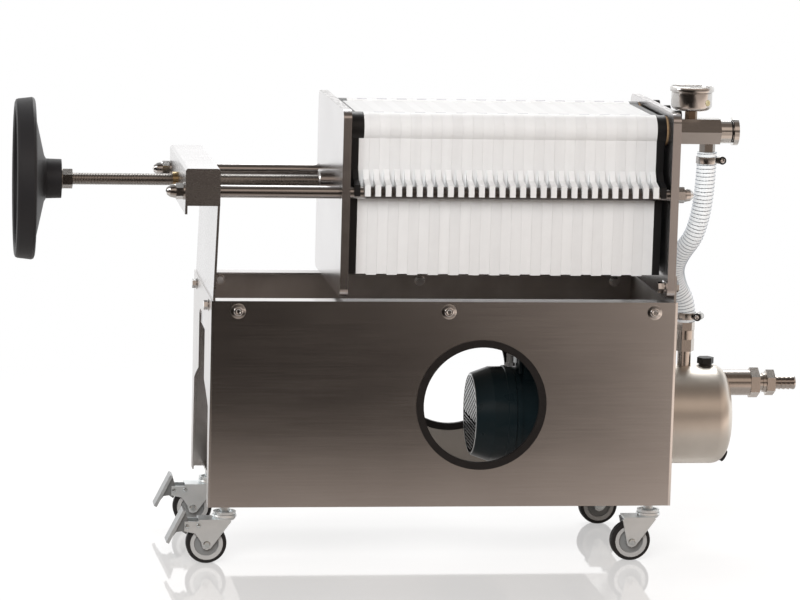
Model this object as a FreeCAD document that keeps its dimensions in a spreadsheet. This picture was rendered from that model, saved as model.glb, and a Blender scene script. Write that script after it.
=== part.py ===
import FreeCAD, Part
import math
import os
import re
import Sketcher

# Plate filter press on casters, as a parametric document in millimetres.
# The machine stands on the plane z = 0, x runs along the guide bars from the handwheel
# towards the pump, and y runs across. The origin is under the middle of the overall box.

SIZES = {
    # sheet-metal base
    "base_length": 600, "base_depth": 262, "base_height": 266, "floor_gap": 76.5,
    "sheet_gauge": 2, "rim_flange": 24, "tray_depth": 46, "rail_width": 40, "rail_gauge": 4,
    "porthole_radius": 79, "porthole_offset": 48.5, "porthole_height": 132.5,
    "trim_width": 5, "trim_lip": 2.5,
    "slot_half": 42, "slot_top": 230, "shoulder_height": 150, "leg_width": 21,
    # portal on the left, that carries the bars and the screw
    "support_gauge": 3, "support_overlap": 55, "portal_lean": 4, "beam_width": 44,
    "beam_inset": 3, "beam_top": "=base_height + 167", "beam_leg": 58, "beam_cap": 47,
    "beam_round": 3.5,
    # guide bars and screw
    "bar_height": "=base_height + 137", "bar_radius": 8, "bar_stud": 6, "bar_half": 114,
    "nut_flats": 18, "screw_radius": 7.5, "screw_reach": 405.3, "slide_gap": 0.6,
    "turn_gap": 0.05, "head_gap": 1,
    # steel head plates
    "head_half": 134, "head_low": "=base_height + 5.5", "head_high": "=base_height + 243",
    "head_gauge": 10.5, "head_round": 12,
    # filter pack
    "plate_count": 29, "plate_pitch": 13.27, "plate_gap": 0.12, "plate_half": 100,
    "plate_low": "=base_height + 31", "plate_high": "=base_height + 234",
    "boss_radius": 20, "boss_half": 84, "boss_height": "=base_height + 216.5",
    "channel_radius": 11, "ear_width": 7.2, "ear_lip": 3.6, "ear_top": "=base_height + 165",
    "ear_low": "=base_height + 133.5", "end_gauge": 9.7, "gasket_gauge": 4, "scallop_drop": 1.4,
    "long_boss": 6.2, "seat_boss": 2.4,
    # handwheel
    "wheel_radius": 104, "wheel_rim": 25.3, "hub_radius": 25, "hub_reach": 34,
    # pump and motor
    "pump_height": 96, "pump_radius": 66, "pump_out": 98, "pump_length": 138, "pump_round": 20,
    "motor_radius": 58, "cover_radius": 62.5, "motor_out": 56, "cover_length": 60,
    "inlet_drop": 24, "inlet_out": 192.5, "delivery_out": 41, "cap_out": 70, "drain_tilt": 27,
    # manifold
    "block_flats": 32, "block_out": 60.5, "gauge_radius": 26.5, "hose_radius": 13,
    # casters
    "caster_half": 276.5, "caster_spread": 107, "caster_trail": 23, "tyre_radius": 26,
    "tyre_width": 19, "fork_gauge": 2.5,
}

doc = FreeCAD.newDocument("plate_filter_press")
sheet = doc.addObject("Spreadsheet::Sheet", "Dim")
for row, (alias, size) in enumerate(SIZES.items(), start=1):
    sheet.set(f"A{row}", alias)
    sheet.set(f"B{row}", str(size))
    sheet.setAlias(f"B{row}", alias)
doc.recompute()

SHEET_NAME = re.compile(r"[a-z]+(?:_[a-z]+)+")


def linked(formula):
    """The formula with each named size read from the sheet."""
    return SHEET_NAME.sub(lambda name: "Dim." + name.group(), str(formula))


def amount(formula):
    return float(sheet.evalExpression(linked(formula)))


# Places along x, from the middle of the base, and heights above the base's lower edge.
# They chain from the right end, where the fixed head is bolted, to the handwheel.
RIGHT_SHEET = "(base_length / 2 - sheet_gauge)"
FIXED_OUT = f"({RIGHT_SHEET} - support_gauge)"
FIXED_IN = f"({FIXED_OUT} - head_gauge)"
RIGHT_END_OUT = f"({FIXED_IN} - gasket_gauge)"
PACK_RIGHT = f"({RIGHT_END_OUT} - end_gauge)"
PACK_LEFT = f"({PACK_RIGHT} - plate_count * plate_pitch)"
LEFT_END_OUT = f"({PACK_LEFT} - end_gauge)"
MOVING_IN = f"({LEFT_END_OUT} - gasket_gauge)"
MOVING_OUT = f"({MOVING_IN} - head_gauge)"
WHEEL_LEFT = f"({MOVING_OUT} - screw_reach)"
BEAM_RIGHT = "(support_gauge + sheet_gauge + portal_lean - base_length / 2)"
BEAM_LEFT = f"({BEAM_RIGHT} - beam_width)"
BEAM_HALF = "(base_depth / 2 - beam_inset)"
INLET_RISE = "(pump_radius - inlet_drop)"
MIDDLE = f"((-{WHEEL_LEFT} - base_length / 2 - inlet_out) / 2)"

nodes = []


def new_body(label, x="0", y="0", z="0", kept=True):
    """A body whose local zero is (x, y, z) in the base's own frame."""
    body = doc.addObject("PartDesign::Body", label)
    body.Label = label
    body.AllowCompound = True
    body.setExpression("Placement.Base.x", linked(f"{MIDDLE} + {x}"))
    body.setExpression("Placement.Base.y", linked(y))
    body.setExpression("Placement.Base.z", linked(f"floor_gap + {z}"))
    if kept:
        nodes.append(body)
    return body


def new_sketch(body, plane, away="0"):
    """A sketch on one of the body's own planes, moved away along the plane's normal.
    XY faces +z, XZ faces -y and YZ faces +x."""
    sketch = body.newObject("Sketcher::SketchObject", body.Label + "_sketch")
    origin_plane = [item for item in body.Origin.OriginFeatures if item.Role == plane + "_Plane"]
    sketch.AttachmentSupport = [(origin_plane[0], "")]
    sketch.MapMode = "FlatFace"
    sketch.setExpression("AttachmentOffset.Base.z", linked(away))
    return sketch


def bind(sketch, kind, geometry, formula):
    index = sketch.addConstraint(Sketcher.Constraint(kind, *geometry, amount(formula)))
    sketch.setExpression(f"Constraints[{index}]", linked(formula))


def pin_point(sketch, element, point, across, up):
    bind(sketch, "DistanceX", (-1, 1, element, point), across)
    bind(sketch, "DistanceY", (-1, 1, element, point), up)


def draw_outline(sketch, corners):
    """A closed outline of straight lines through the corners, each a pair of formulas."""
    points = [FreeCAD.Vector(amount(across), amount(up), 0) for across, up in corners]
    first = sketch.GeometryCount
    count = len(points)
    for step in range(count):
        sketch.addGeometry(Part.LineSegment(points[step], points[(step + 1) % count]))
    for step in range(count):
        after = first + (step + 1) % count
        sketch.addConstraint(Sketcher.Constraint("Coincident", first + step, 2, after, 1))
    for step, (across, up) in enumerate(corners):
        pin_point(sketch, first + step, 1, across, up)


def draw_box(sketch, left, low, right, high):
    draw_outline(sketch, [(left, low), (right, low), (right, high), (left, high)])


def draw_circle(sketch, across, up, radius):
    centre = FreeCAD.Vector(amount(across), amount(up), 0)
    circle = Part.Circle(centre, FreeCAD.Vector(0, 0, 1), amount(radius))
    element = sketch.addGeometry(circle)
    pin_point(sketch, element, 3, across, up)
    bind(sketch, "Radius", (element,), radius)


def draw_hexagon(sketch, across, up, flats, turn=0):
    """A hexagon by its width across flats; turn 0 has a corner to the right."""
    corners = []
    for step in range(6):
        angle = turn + 60 * step
        corners.append((f"{across} + {flats} / sqrt(3) * cos({angle})",
                        f"{up} + {flats} / sqrt(3) * sin({angle})"))
    draw_outline(sketch, corners)


def pad(body, sketch, length, reverse=False, middle=False):
    feature = body.newObject("PartDesign::Pad", body.Label + "_pad")
    feature.Profile = sketch
    feature.setExpression("Length", linked(length))
    feature.Reversed = reverse
    feature.Midplane = middle
    return feature


def pocket_through(body, sketch):
    feature = body.newObject("PartDesign::Pocket", body.Label + "_pocket")
    feature.Profile = sketch
    feature.Type = "ThroughAll"
    feature.Midplane = True
    return feature


def pocket(body, sketch, length, reverse=False):
    feature = body.newObject("PartDesign::Pocket", body.Label + "_pocket")
    feature.Profile = sketch
    feature.setExpression("Length", linked(length))
    feature.Reversed = reverse
    return feature


def revolve(body, sketch, axis):
    feature = body.newObject("PartDesign::Revolution", body.Label + "_turned")
    feature.Profile = sketch
    feature.ReferenceAxis = (sketch, [axis])
    feature.Angle = 360
    return feature


def round_edges(body, radius, wanted):
    """Fillets the edges of the body's shape that the test picks."""
    doc.recompute()
    tip = body.Tip
    names = [f"Edge{number}" for number, edge in enumerate(tip.Shape.Edges, start=1) if wanted(edge)]
    feature = body.newObject("PartDesign::Fillet", body.Label + "_round")
    feature.Base = (tip, names)
    feature.setExpression("Radius", linked(radius))
    return feature


def bevel_edges(body, size, wanted):
    """Chamfers the edges of the body's shape that the test picks."""
    doc.recompute()
    tip = body.Tip
    names = [f"Edge{number}" for number, edge in enumerate(tip.Shape.Edges, start=1) if wanted(edge)]
    feature = body.newObject("PartDesign::Chamfer", body.Label + "_bevel")
    feature.Base = (tip, names)
    feature.setExpression("Size", linked(size))
    return feature


def mirror_across(body, plane):
    """Mirrors the whole body in one of its own planes."""
    feature = body.newObject("PartDesign::Mirrored", body.Label + "_mirror")
    feature.TransformMode = "Whole shape"
    origin_plane = [item for item in body.Origin.OriginFeatures if item.Role == plane + "_Plane"]
    feature.MirrorPlane = (origin_plane[0], [""])
    body.Tip = feature
    return feature


def along_x(edge):
    if edge.Curve.TypeId != "Part::GeomLine":
        return False
    return abs(edge.Curve.Direction.x) > 0.999


def add_round(body, plane, across, up, start, length, radius):
    sketch = new_sketch(body, plane, start)
    draw_circle(sketch, across, up, radius)
    return pad(body, sketch, length)


def add_hexagon(body, plane, across, up, start, length, flats, turn=0):
    sketch = new_sketch(body, plane, start)
    draw_hexagon(sketch, across, up, flats, turn)
    return pad(body, sketch, length)


# ---------------------------------------------------------------- base

def side_panel(label, side):
    """Long side sheet with the round window and inward flanges; side -1 is the front."""
    body = new_body(label)
    away = f"{-side} * base_depth / 2"
    inward = side < 0
    face = new_sketch(body, "XZ", away)
    draw_box(face, "-base_length / 2", "0", "base_length / 2", "base_height")
    draw_circle(face, "porthole_offset", "porthole_height", "porthole_radius")
    pad(body, face, "sheet_gauge", reverse=inward)
    flange = new_sketch(body, "XZ", away)
    end = "base_length / 2 - sheet_gauge - support_gauge - 0.5"
    draw_box(flange, f"-({end})", "base_height - sheet_gauge", end, "base_height")
    pad(body, flange, "rim_flange", reverse=inward)
    return body


def end_panel(label, side):
    """End sheet cut out like a bottle, down to its lower edge, so that two legs are left."""
    body = new_body(label)
    face = new_sketch(body, "YZ", f"{side} * base_length / 2")
    edge = "(base_depth / 2 - sheet_gauge)"
    leg = f"({edge} - leg_width)"
    right_side = [
        (leg, "0"), (f"{leg} - 4", "shoulder_height - 24"), (f"{leg} - 32", "shoulder_height - 12"),
        ("slot_half", "shoulder_height"), ("slot_half", "slot_top - 8"), ("slot_half - 8", "slot_top"),
    ]
    left_side = [(f"-({across})", up) for across, up in reversed(right_side)]
    outer = [(f"-{edge}", "0"), (f"-{edge}", "base_height"), (edge, "base_height"), (edge, "0")]
    draw_outline(face, outer + right_side + left_side)
    pad(body, face, "sheet_gauge", reverse=side > 0)
    return body


def cross_rails():
    """Two flat rails across the open bottom, that the casters are bolted to."""
    body = new_body("caster_rails")
    face = new_sketch(body, "XY")
    edge = "(base_depth / 2 - sheet_gauge)"
    for side in (-1, 1):
        outer = f"{side} * (caster_half + 7)"
        inner = f"{side} * (caster_half + 7 - rail_width)"
        left, right = (outer, inner) if side < 0 else (inner, outer)
        draw_box(face, left, f"-{edge}", right, edge)
    pad(body, face, "rail_gauge")
    return body


def drip_tray():
    """Open pan under the plates, hung just below the rim flanges."""
    body = new_body("drip_tray")
    floor = "(base_height - sheet_gauge - tray_depth)"
    length = "(base_length / 2 - sheet_gauge - support_gauge - 0.5)"
    width = "(base_depth / 2 - sheet_gauge - 0.2)"
    outer = new_sketch(body, "XY", floor)
    draw_box(outer, f"-{length}", f"-{width}", length, width)
    pad(body, outer, "tray_depth - 0.2")
    inner = new_sketch(body, "XY", f"{floor} + sheet_gauge")
    draw_box(inner, f"sheet_gauge - {length}", f"sheet_gauge - {width}",
             f"{length} - sheet_gauge", f"{width} - sheet_gauge")
    pocket(body, inner, "tray_depth", reverse=True)
    return body


def window_trims():
    """Rubber edging clipped round the front and back windows."""
    body = new_body("window_trims")
    profile = new_sketch(body, "XY")
    inside = "(porthole_radius - trim_width + 1)"
    outside = "(porthole_radius + trim_width)"
    near = "(base_depth / 2 + trim_lip)"
    far = "(base_depth / 2 - sheet_gauge - trim_lip)"
    draw_outline(profile, [
        (inside, near), (outside, near), (outside, "base_depth / 2 + 0.05"),
        ("porthole_radius - 0.05", "base_depth / 2 + 0.05"),
        ("porthole_radius - 0.05", "base_depth / 2 - sheet_gauge - 0.05"),
        (outside, "base_depth / 2 - sheet_gauge - 0.05"), (outside, far), (inside, far)])
    revolve(body, profile, "V_Axis")
    mirror_across(body, "XZ")
    body.setExpression("Placement.Base.x", linked(f"{MIDDLE} + porthole_offset"))
    body.setExpression("Placement.Base.z", linked("floor_gap + porthole_height"))
    return body


# ---------------------------------------------------------------- portal and fixed head

def portal():
    """One folded sheet: it stands inside the base's left end, leans in and turns over
    as the cross beam that the guide bars and the pressing screw are fixed to."""
    body = new_body("left_portal")
    profile = new_sketch(body, "XZ")
    foot = "(sheet_gauge - base_length / 2)"
    low = "base_height - support_overlap"
    draw_outline(profile, [
        (foot, low), (f"{foot} + support_gauge", low),
        (f"{foot} + support_gauge", "base_height"), (BEAM_RIGHT, "beam_top - beam_cap"),
        (BEAM_RIGHT, "beam_top"), (BEAM_LEFT, "beam_top"), (BEAM_LEFT, "beam_top - beam_leg"),
        (f"{BEAM_LEFT} + support_gauge", "beam_top - beam_leg"),
        (f"{BEAM_LEFT} + support_gauge", "beam_top - support_gauge"),
        (f"{BEAM_RIGHT} - support_gauge", "beam_top - support_gauge"),
        (f"{BEAM_RIGHT} - support_gauge", "beam_top - beam_cap"), (foot, "base_height")])
    pad(body, profile, f"2 * ({BEAM_HALF} - sheet_gauge)", middle=True)
    holes = new_sketch(body, "YZ", BEAM_RIGHT)
    for side in (-1, 1):
        draw_circle(holes, f"{side} * bar_half", "bar_height", "bar_radius + 0.2")
    draw_circle(holes, "0", "bar_height", "screw_radius + 3")
    pocket(body, holes, f"beam_width - support_gauge - 1")
    studs = new_sketch(body, "YZ", f"{BEAM_LEFT} + support_gauge + 1")
    for side in (-1, 1):
        draw_circle(studs, f"{side} * bar_half", "bar_height", "bar_stud + 0.2")
    draw_circle(studs, "0", "bar_height", "screw_radius + 3")
    pocket(body, studs, "support_gauge + 2")
    crest = amount("beam_top")
    edges = (amount(BEAM_LEFT), amount(BEAM_RIGHT))
    round_edges(body, "beam_round", lambda edge: abs(edge.CenterOfMass.z - crest) < 0.01
                and min(abs(edge.CenterOfMass.x - place) for place in edges) < 0.01)
    return body


def beam_caps():
    """End plates that close the two open ends of the cross beam."""
    body = new_body("beam_end_caps")
    face = new_sketch(body, "XZ", f"{BEAM_HALF} - sheet_gauge")
    draw_box(face, BEAM_LEFT, "beam_top - beam_cap", BEAM_RIGHT, "beam_top")
    pad(body, face, "sheet_gauge")
    crest = amount("beam_top")
    edges = (amount(BEAM_LEFT), amount(BEAM_RIGHT))
    round_edges(body, "beam_round", lambda edge: abs(edge.CenterOfMass.z - crest) < 0.01
                and min(abs(edge.CenterOfMass.x - place) for place in edges) < 0.01)
    mirror_across(body, "XZ")
    return body


def screw_nut():
    """Brass nut through the beam; its running bore stands for the thread."""
    body = new_body("screw_nut", z="bar_height")
    for start, length, radius in (
            (f"{BEAM_LEFT} - 6.6", "6.6", "screw_radius + 2.6"),
            (BEAM_LEFT, "beam_width", "screw_radius + 2.9")):
        sketch = new_sketch(body, "YZ", start)
        draw_circle(sketch, "0", "0", radius)
        draw_circle(sketch, "0", "0", "screw_radius + turn_gap")
        pad(body, sketch, length)
    return body


def guide_bar(label, side):
    """Polished round bar with a smaller stud at each end."""
    body = new_body(label, y=f"{side} * bar_half", z="bar_height")
    shoulder = f"({BEAM_LEFT} + support_gauge)"
    add_round(body, "YZ", "0", "0", f"{BEAM_LEFT} - 16", f"{FIXED_OUT} - ({BEAM_LEFT}) + 30",
              "bar_stud")
    add_round(body, "YZ", "0", "0", shoulder, f"{FIXED_IN} - {shoulder}", "bar_radius")
    return body


def bar_nuts(label, face, side):
    """Domed nuts and washers on the ends of both bars; side -1 is the left end."""
    body = new_body(label, y="-bar_half", z="bar_height")
    stud_hole = "bar_stud + 0.02"
    washer = new_sketch(body, "YZ", face)
    draw_circle(washer, "0", "0", "nut_flats / 2 + 2")
    draw_circle(washer, "0", "0", stud_hole)
    pad(body, washer, "2", reverse=side < 0)
    nut = new_sketch(body, "YZ", f"{face} + {2 * side}")
    draw_hexagon(nut, "0", "0", "nut_flats", 30)
    draw_circle(nut, "0", "0", stud_hole)
    pad(body, nut, "9", reverse=side < 0)
    dome = new_sketch(body, "XY")
    draw_outline(dome, [(f"{face} + {side} * ({away})", radius) for away, radius in (
        ("9", stud_hole), ("17", stud_hole), ("17", "0"), ("24", "0"), ("22.4", "nut_flats / 2 - 4.4"),
        ("18.4", "nut_flats / 2 - 1.4"), ("13", "nut_flats / 2 - 0.3"), ("9", "nut_flats / 2 - 0.3"))])
    revolve(body, dome, "H_Axis")
    pair = body.newObject("PartDesign::LinearPattern", label + "_pair")
    pair.TransformMode = "Whole shape"
    y_axis = [item for item in body.Origin.OriginFeatures if item.Role == "Y_Axis"]
    pair.Direction = (y_axis[0], [""])
    pair.Mode = "Spacing"
    pair.setExpression("Offset", linked("2 * bar_half"))
    pair.Occurrences = 2
    body.Tip = pair
    return body


def head_plate(label, start, stud):
    """Thick steel pressing plate with rounded corners and a hole for each bar."""
    body = new_body(label)
    face = new_sketch(body, "YZ", start)
    draw_box(face, "-head_half", "head_low", "head_half", "head_high")
    pad(body, face, "head_gauge")
    holes = new_sketch(body, "YZ", start)
    for side in (-1, 1):
        draw_circle(holes, f"{side} * bar_half", "bar_height", stud)
    pocket_through(body, holes)
    corner = amount("head_half")
    round_edges(body, "head_round", lambda edge: along_x(edge) and abs(abs(edge.CenterOfMass.y) - corner) < 0.01)
    return body


def head_support():
    """Sheet inside the base's right end, that the fixed head is bolted to."""
    body = new_body("fixed_head_support")
    face = new_sketch(body, "YZ", FIXED_OUT)
    edge = "(base_depth / 2 - sheet_gauge - 0.5)"
    draw_box(face, f"-{edge}", "base_height - support_overlap", edge, "base_height + 34")
    pad(body, face, "support_gauge")
    return body


def cap_nuts():
    """Black capped nuts along the upper edge of the fixed head's outer face."""
    body = new_body("fixed_head_caps")
    face = new_sketch(body, "YZ", FIXED_OUT)
    for side in (-1, 0, 1):
        draw_circle(face, f"{side} * 66", "head_high - 9", "7")
    pad(body, face, "14")
    outer = amount(FIXED_OUT) + 14
    bevel_edges(body, "1.5", lambda edge: abs(edge.CenterOfMass.x - outer) < 0.01)
    return body


# ---------------------------------------------------------------- filter pack

def plate_form(body, start, thickness, low, boss_start=None, boss_length=None):
    """Square filter plate: a round boss in each upper corner, where the liquor passes,
    and an ear on each side that hooks over the guide bar. The bosses may be set off
    from the plate along the bar."""
    shoulder = "(boss_height - sqrt(boss_radius ^ 2 - (plate_half - boss_half) ^ 2))"
    neck = "(boss_half - sqrt(boss_radius ^ 2 - (plate_high - boss_height) ^ 2))"
    face = new_sketch(body, "YZ", start)
    draw_outline(face, [
        ("-plate_half", low), ("plate_half", low), ("plate_half", shoulder), (neck, shoulder),
        (neck, "plate_high"), (f"-{neck}", "plate_high"), (f"-{neck}", shoulder),
        ("-plate_half", shoulder)])
    pad(body, face, thickness)
    bosses = new_sketch(body, "YZ", boss_start or start)
    for side in (-1, 1):
        draw_circle(bosses, f"{side} * boss_half", "boss_height", "boss_radius")
    pad(body, bosses, boss_length or thickness)
    ears = new_sketch(body, "YZ", f"{start} + {thickness} - ear_width")
    tip = "(bar_half + bar_radius + slide_gap + ear_lip)"
    for side in (-1, 1):
        draw_outline(ears, [
            (f"{side} * (plate_half - 2)", "ear_top"), (f"{side} * plate_half", "ear_top"),
            (f"{side} * (plate_half + 8)", "ear_top - 12"), (f"{side} * {tip}", "ear_top - 17"),
            (f"{side} * {tip}", "ear_low"), (f"{side} * (plate_half - 2)", "ear_low")])
    pad(body, ears, "ear_width")
    hook = new_sketch(body, "YZ", start)
    for side in (-1, 1):
        draw_circle(hook, f"{side} * bar_half", "bar_height", "bar_radius + slide_gap")
    pocket_through(body, hook)
    mouth = new_sketch(body, "YZ", start)
    for side in (-1, 1):
        draw_box(mouth, f"{side} * bar_half - bar_radius - slide_gap", "ear_low - 20",
                 f"{side} * bar_half + bar_radius + slide_gap", "bar_height")
    pocket_through(body, mouth)


def first_plate():
    """Filter plate next to the pressing head; its bosses are cut short for the longer
    bosses of the end plate."""
    body = new_body("first_filter_plate")
    plate_form(body, PACK_LEFT, "(plate_pitch - plate_gap)", "plate_low")
    seats = new_sketch(body, "YZ", PACK_LEFT)
    for side in (-1, 1):
        draw_circle(seats, f"{side} * boss_half", "boss_height", "boss_radius + 0.02")
    pocket(body, seats, "long_boss + plate_gap", reverse=True)
    return body


def filter_plates(label, first, low):
    """Every second plate of the pack, starting at plate number first."""
    body = new_body(label)
    count = int(amount("plate_count") + 1 - first) // 2
    plate_form(body, f"{PACK_LEFT} + {first} * plate_pitch", "(plate_pitch - plate_gap)", low)
    row = body.newObject("PartDesign::LinearPattern", label + "_row")
    row.TransformMode = "Whole shape"
    x_axis = [item for item in body.Origin.OriginFeatures if item.Role == "X_Axis"]
    row.Direction = (x_axis[0], [""])
    row.Mode = "Spacing"
    row.setExpression("Offset", linked("2 * plate_pitch"))
    row.Occurrences = count
    body.Tip = row
    return body


def end_plates():
    """Black end plates with the same outline as the filter plates. The left one's bosses
    reach into the first filter plate, the right one's stand out towards the fixed head."""
    moving = new_body("moving_end_plate")
    plate_form(moving, LEFT_END_OUT, "end_gauge", "plate_low", LEFT_END_OUT, "(end_gauge + long_boss)")
    fixed = new_body("fixed_end_plate")
    plate_form(fixed, PACK_RIGHT, "end_gauge", "plate_low", PACK_RIGHT, "(end_gauge + seat_boss)")


def gaskets(label, start, thickness):
    """Rings that seal the channel bosses to the steel head."""
    body = new_body(label)
    face = new_sketch(body, "YZ", start)
    for side in (-1, 1):
        draw_circle(face, f"{side} * boss_half", "boss_height", "boss_radius - 1")
        draw_circle(face, f"{side} * boss_half", "boss_height", "channel_radius")
    pad(body, face, thickness)
    return body


# ---------------------------------------------------------------- screw and handwheel

def pressure_screw():
    """Screw spindle with the nut that holds the handwheel, and a plain tip."""
    body = new_body("pressure_screw", z="bar_height")
    add_round(body, "YZ", "0", "0", f"{WHEEL_LEFT} + 8", "screw_reach - 8 - 0.6", "screw_radius")
    add_hexagon(body, "YZ", "0", "0", f"{WHEEL_LEFT} + wheel_rim + hub_reach", "14", "22", 30)
    return body


def screw_block():
    """Cup on the moving head that the screw's tip turns in."""
    body = new_body("screw_block", z="bar_height")
    section = new_sketch(body, "XY")
    bore = "screw_radius + turn_gap"
    draw_outline(section, [
        (f"{MOVING_OUT} - 15", bore), (f"{MOVING_OUT} - 15", "13.5"), (f"{MOVING_OUT} - 13", "15.5"),
        (MOVING_OUT, "15.5"), (MOVING_OUT, bore)])
    revolve(body, section, "H_Axis")
    return body


def handwheel():
    """Moulded wheel: heavy rounded rim, dished web and a long hub."""
    body = new_body("handwheel", x=WHEEL_LEFT, z="bar_height")
    profile = new_sketch(body, "XY")
    draw_outline(profile, [
        ("5", "screw_radius"), ("5", "hub_radius - 3"), ("8", "hub_radius - 1"),
        ("wheel_rim + 3", "hub_radius - 1"), ("wheel_rim + 4", "hub_radius + 3"),
        ("wheel_rim - 7", "wheel_radius - 17"), ("wheel_rim - 10", "wheel_radius - 13"),
        ("2", "wheel_radius - 12"), ("0", "wheel_radius - 9.5"), ("0", "wheel_radius - 6"),
        ("1.2", "wheel_radius - 3.2"), ("4", "wheel_radius - 2"), ("wheel_rim - 4", "wheel_radius"),
        ("wheel_rim - 1.2", "wheel_radius - 1.2"), ("wheel_rim", "wheel_radius - 4"),
        ("wheel_rim", "wheel_radius - 10"), ("wheel_rim - 1", "wheel_radius - 15"),
        ("wheel_rim + 12", "hub_radius + 5"), ("wheel_rim + 14.5", "hub_radius + 0.6"),
        ("wheel_rim + hub_reach", "hub_radius"), ("wheel_rim + hub_reach", "screw_radius")])
    revolve(body, profile, "H_Axis")
    return body


# ---------------------------------------------------------------- pump and motor

def pump_body():
    """Drawn steel pump casing, a drum with a rounded front."""
    body = new_body("pump_body", z="pump_height")
    end = "(base_length / 2 + pump_out)"
    add_round(body, "YZ", "0", "0", f"{end} - pump_length", "pump_length", "pump_radius")
    front = amount(end)
    round_edges(body, "pump_round", lambda edge: abs(edge.CenterOfMass.x - front) < 0.01)
    seat = new_sketch(body, "YZ", end)
    draw_circle(seat, "0", INLET_RISE, "17")
    pocket(body, seat, "18")
    top = new_sketch(body, "XY", "pump_radius")
    draw_circle(top, "base_length / 2 + cap_out", "0", "8.6")
    draw_circle(top, "base_length / 2 + delivery_out", "0", "9")
    pocket(body, top, "3")
    drain = new_sketch(body, "XZ")
    draw_drain_half(drain, "-6", "0.4", "8")
    groove = body.newObject("PartDesign::Groove", "pump_body_drain_seat")
    groove.Profile = drain
    groove.ReferenceAxis = (drain, ["Axis0"])
    groove.Angle = 360
    return body


def draw_drain_half(sketch, inner, outer, radius):
    """Half section of the drain plug about its own axis, which is square to the pump's
    rounded front edge, below the middle."""
    centre = ("(base_length / 2 + pump_out - pump_round)", "(pump_round - pump_radius)")

    def place(along, across):
        reach = f"(pump_round + {along})"
        return (f"{centre[0]} + {reach} * cos(drain_tilt) + {across} * sin(drain_tilt)",
                f"{centre[1]} - {reach} * sin(drain_tilt) + {across} * cos(drain_tilt)")

    draw_outline(sketch, [place(inner, "0"), place(outer, "0"), place(outer, radius),
                          place(inner, radius)])
    start, end = [FreeCAD.Vector(amount(across), amount(up), 0)
                  for across, up in (place(inner, "0"), place(outer, "0"))]
    axis = sketch.addGeometry(Part.LineSegment(start, end), True)
    sketch.addConstraint(Sketcher.Constraint("Coincident", axis, 1, 0, 1))
    sketch.addConstraint(Sketcher.Constraint("Coincident", axis, 2, 0, 2))


def pump_plugs():
    """Filling cap on top of the pump and the drain plug low on its front."""
    cap = new_body("pump_cap", x="base_length / 2 + cap_out", z="pump_height + pump_radius")
    add_round(cap, "XY", "0", "0", "-3", "5", "8.6")
    add_hexagon(cap, "XY", "0", "0", "2", "8", "19.5", 0)
    drain = new_body("pump_drain", z="pump_height")
    section = new_sketch(drain, "XZ")
    draw_drain_half(section, "-6", "6", "8")
    turned = drain.newObject("PartDesign::Revolution", "pump_drain_turned")
    turned.Profile = section
    turned.ReferenceAxis = (section, ["Axis0"])
    turned.Angle = 360


def pump_inlet():
    """Suction fittings on the pump's front: stub, union and a ribbed hose tail."""
    body = new_body("pump_inlet", z=f"pump_height + {INLET_RISE}")
    out = "(base_length / 2 + inlet_out)"
    root = "(base_length / 2 + pump_out - 18)"
    add_round(body, "YZ", "0", "0", root, f"{out} - 62.5 - {root}", "17")
    add_hexagon(body, "YZ", "0", "0", f"{out} - 62.5", "12", "35", 30)
    add_round(body, "YZ", "0", "0", f"{out} - 50.5", "6", "11")
    add_round(body, "YZ", "0", "0", f"{out} - 44.5", "15", "12.8")
    add_hexagon(body, "YZ", "0", "0", f"{out} - 40", "11", "30", 30)
    tail = new_sketch(body, "XY", "0")
    ribs = []
    for step in range(5):
        ribs.append((f"{out} - {31 - 6 * step}", "8"))
        ribs.append((f"{out} - {26 - 6 * step}", "9.4"))
    draw_outline(tail, [(f"{out} - 31", "0")] + ribs + [(f"{out}", "8.4"), (out, "0")])
    revolve(body, tail, "H_Axis")
    return body


def pump_outlet():
    """Delivery fittings that rise from the pump to the hose."""
    body = new_body("pump_outlet", x="base_length / 2 + delivery_out", z="pump_height + pump_radius")
    add_round(body, "XY", "0", "0", "-3", "60", "9")
    add_hexagon(body, "XY", "0", "0", "19", "16", "22")
    add_round(body, "XY", "0", "0", "35", "12", "12")
    add_hexagon(body, "XY", "0", "0", "47", "11", "22")
    return body


def motor():
    """Motor drum with its terminal box on top."""
    body = new_body("motor_body", z="pump_height")
    left = "(motor_out + cover_length)"
    right = "(base_length / 2 + pump_out - pump_length)"
    add_round(body, "YZ", "0", "0", left, f"{right} - {left}", "motor_radius")
    box = new_sketch(body, "XZ")
    draw_box(box, f"{left} + 4", "motor_radius - 20", f"{left} + 70", "cover_radius + 17")
    pad(body, box, "60", middle=True)
    return body


def cable_gland():
    """Upright gland beside the terminal box, that the motor's leads pass through."""
    body = new_body("cable_gland", x="motor_out + cover_length - 9",
                    z="pump_height + cover_radius + 1.5")
    add_round(body, "XY", "0", "0", "0", "16.5", "4.6")
    add_hexagon(body, "XY", "0", "0", "0", "4", "12")
    return body


def motor_shelf():
    body = new_body("motor_shelf")
    profile = new_sketch(body, "XZ")
    edge = "(base_depth / 2 - sheet_gauge - 0.3)"
    draw_box(profile, "motor_out + 80", "pump_height - motor_radius - 4", "motor_out + 170",
             "pump_height - motor_radius")
    pad(body, profile, f"2 * {edge}", middle=True)
    return body


def fan_cover():
    """Fan cover at the motor's tail, drawn in towards its grille, with a raised band."""
    body = new_body("motor_fan_cover", z="pump_height")
    profile = new_sketch(body, "XY")
    end = "motor_out + cover_length"
    draw_outline(profile, [
        ("motor_out", "0"), ("motor_out", "cover_radius - 9"), ("motor_out + 1", "cover_radius - 8"),
        ("motor_out + 23", "cover_radius"), (f"{end} - 19", "cover_radius"),
        (f"{end} - 18", "cover_radius + 1.5"), (f"{end} - 8", "cover_radius + 1.5"),
        (f"{end} - 7", "cover_radius - 1"), (end, "cover_radius - 1"), (end, "0")])
    revolve(body, profile, "H_Axis")
    return body


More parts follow.
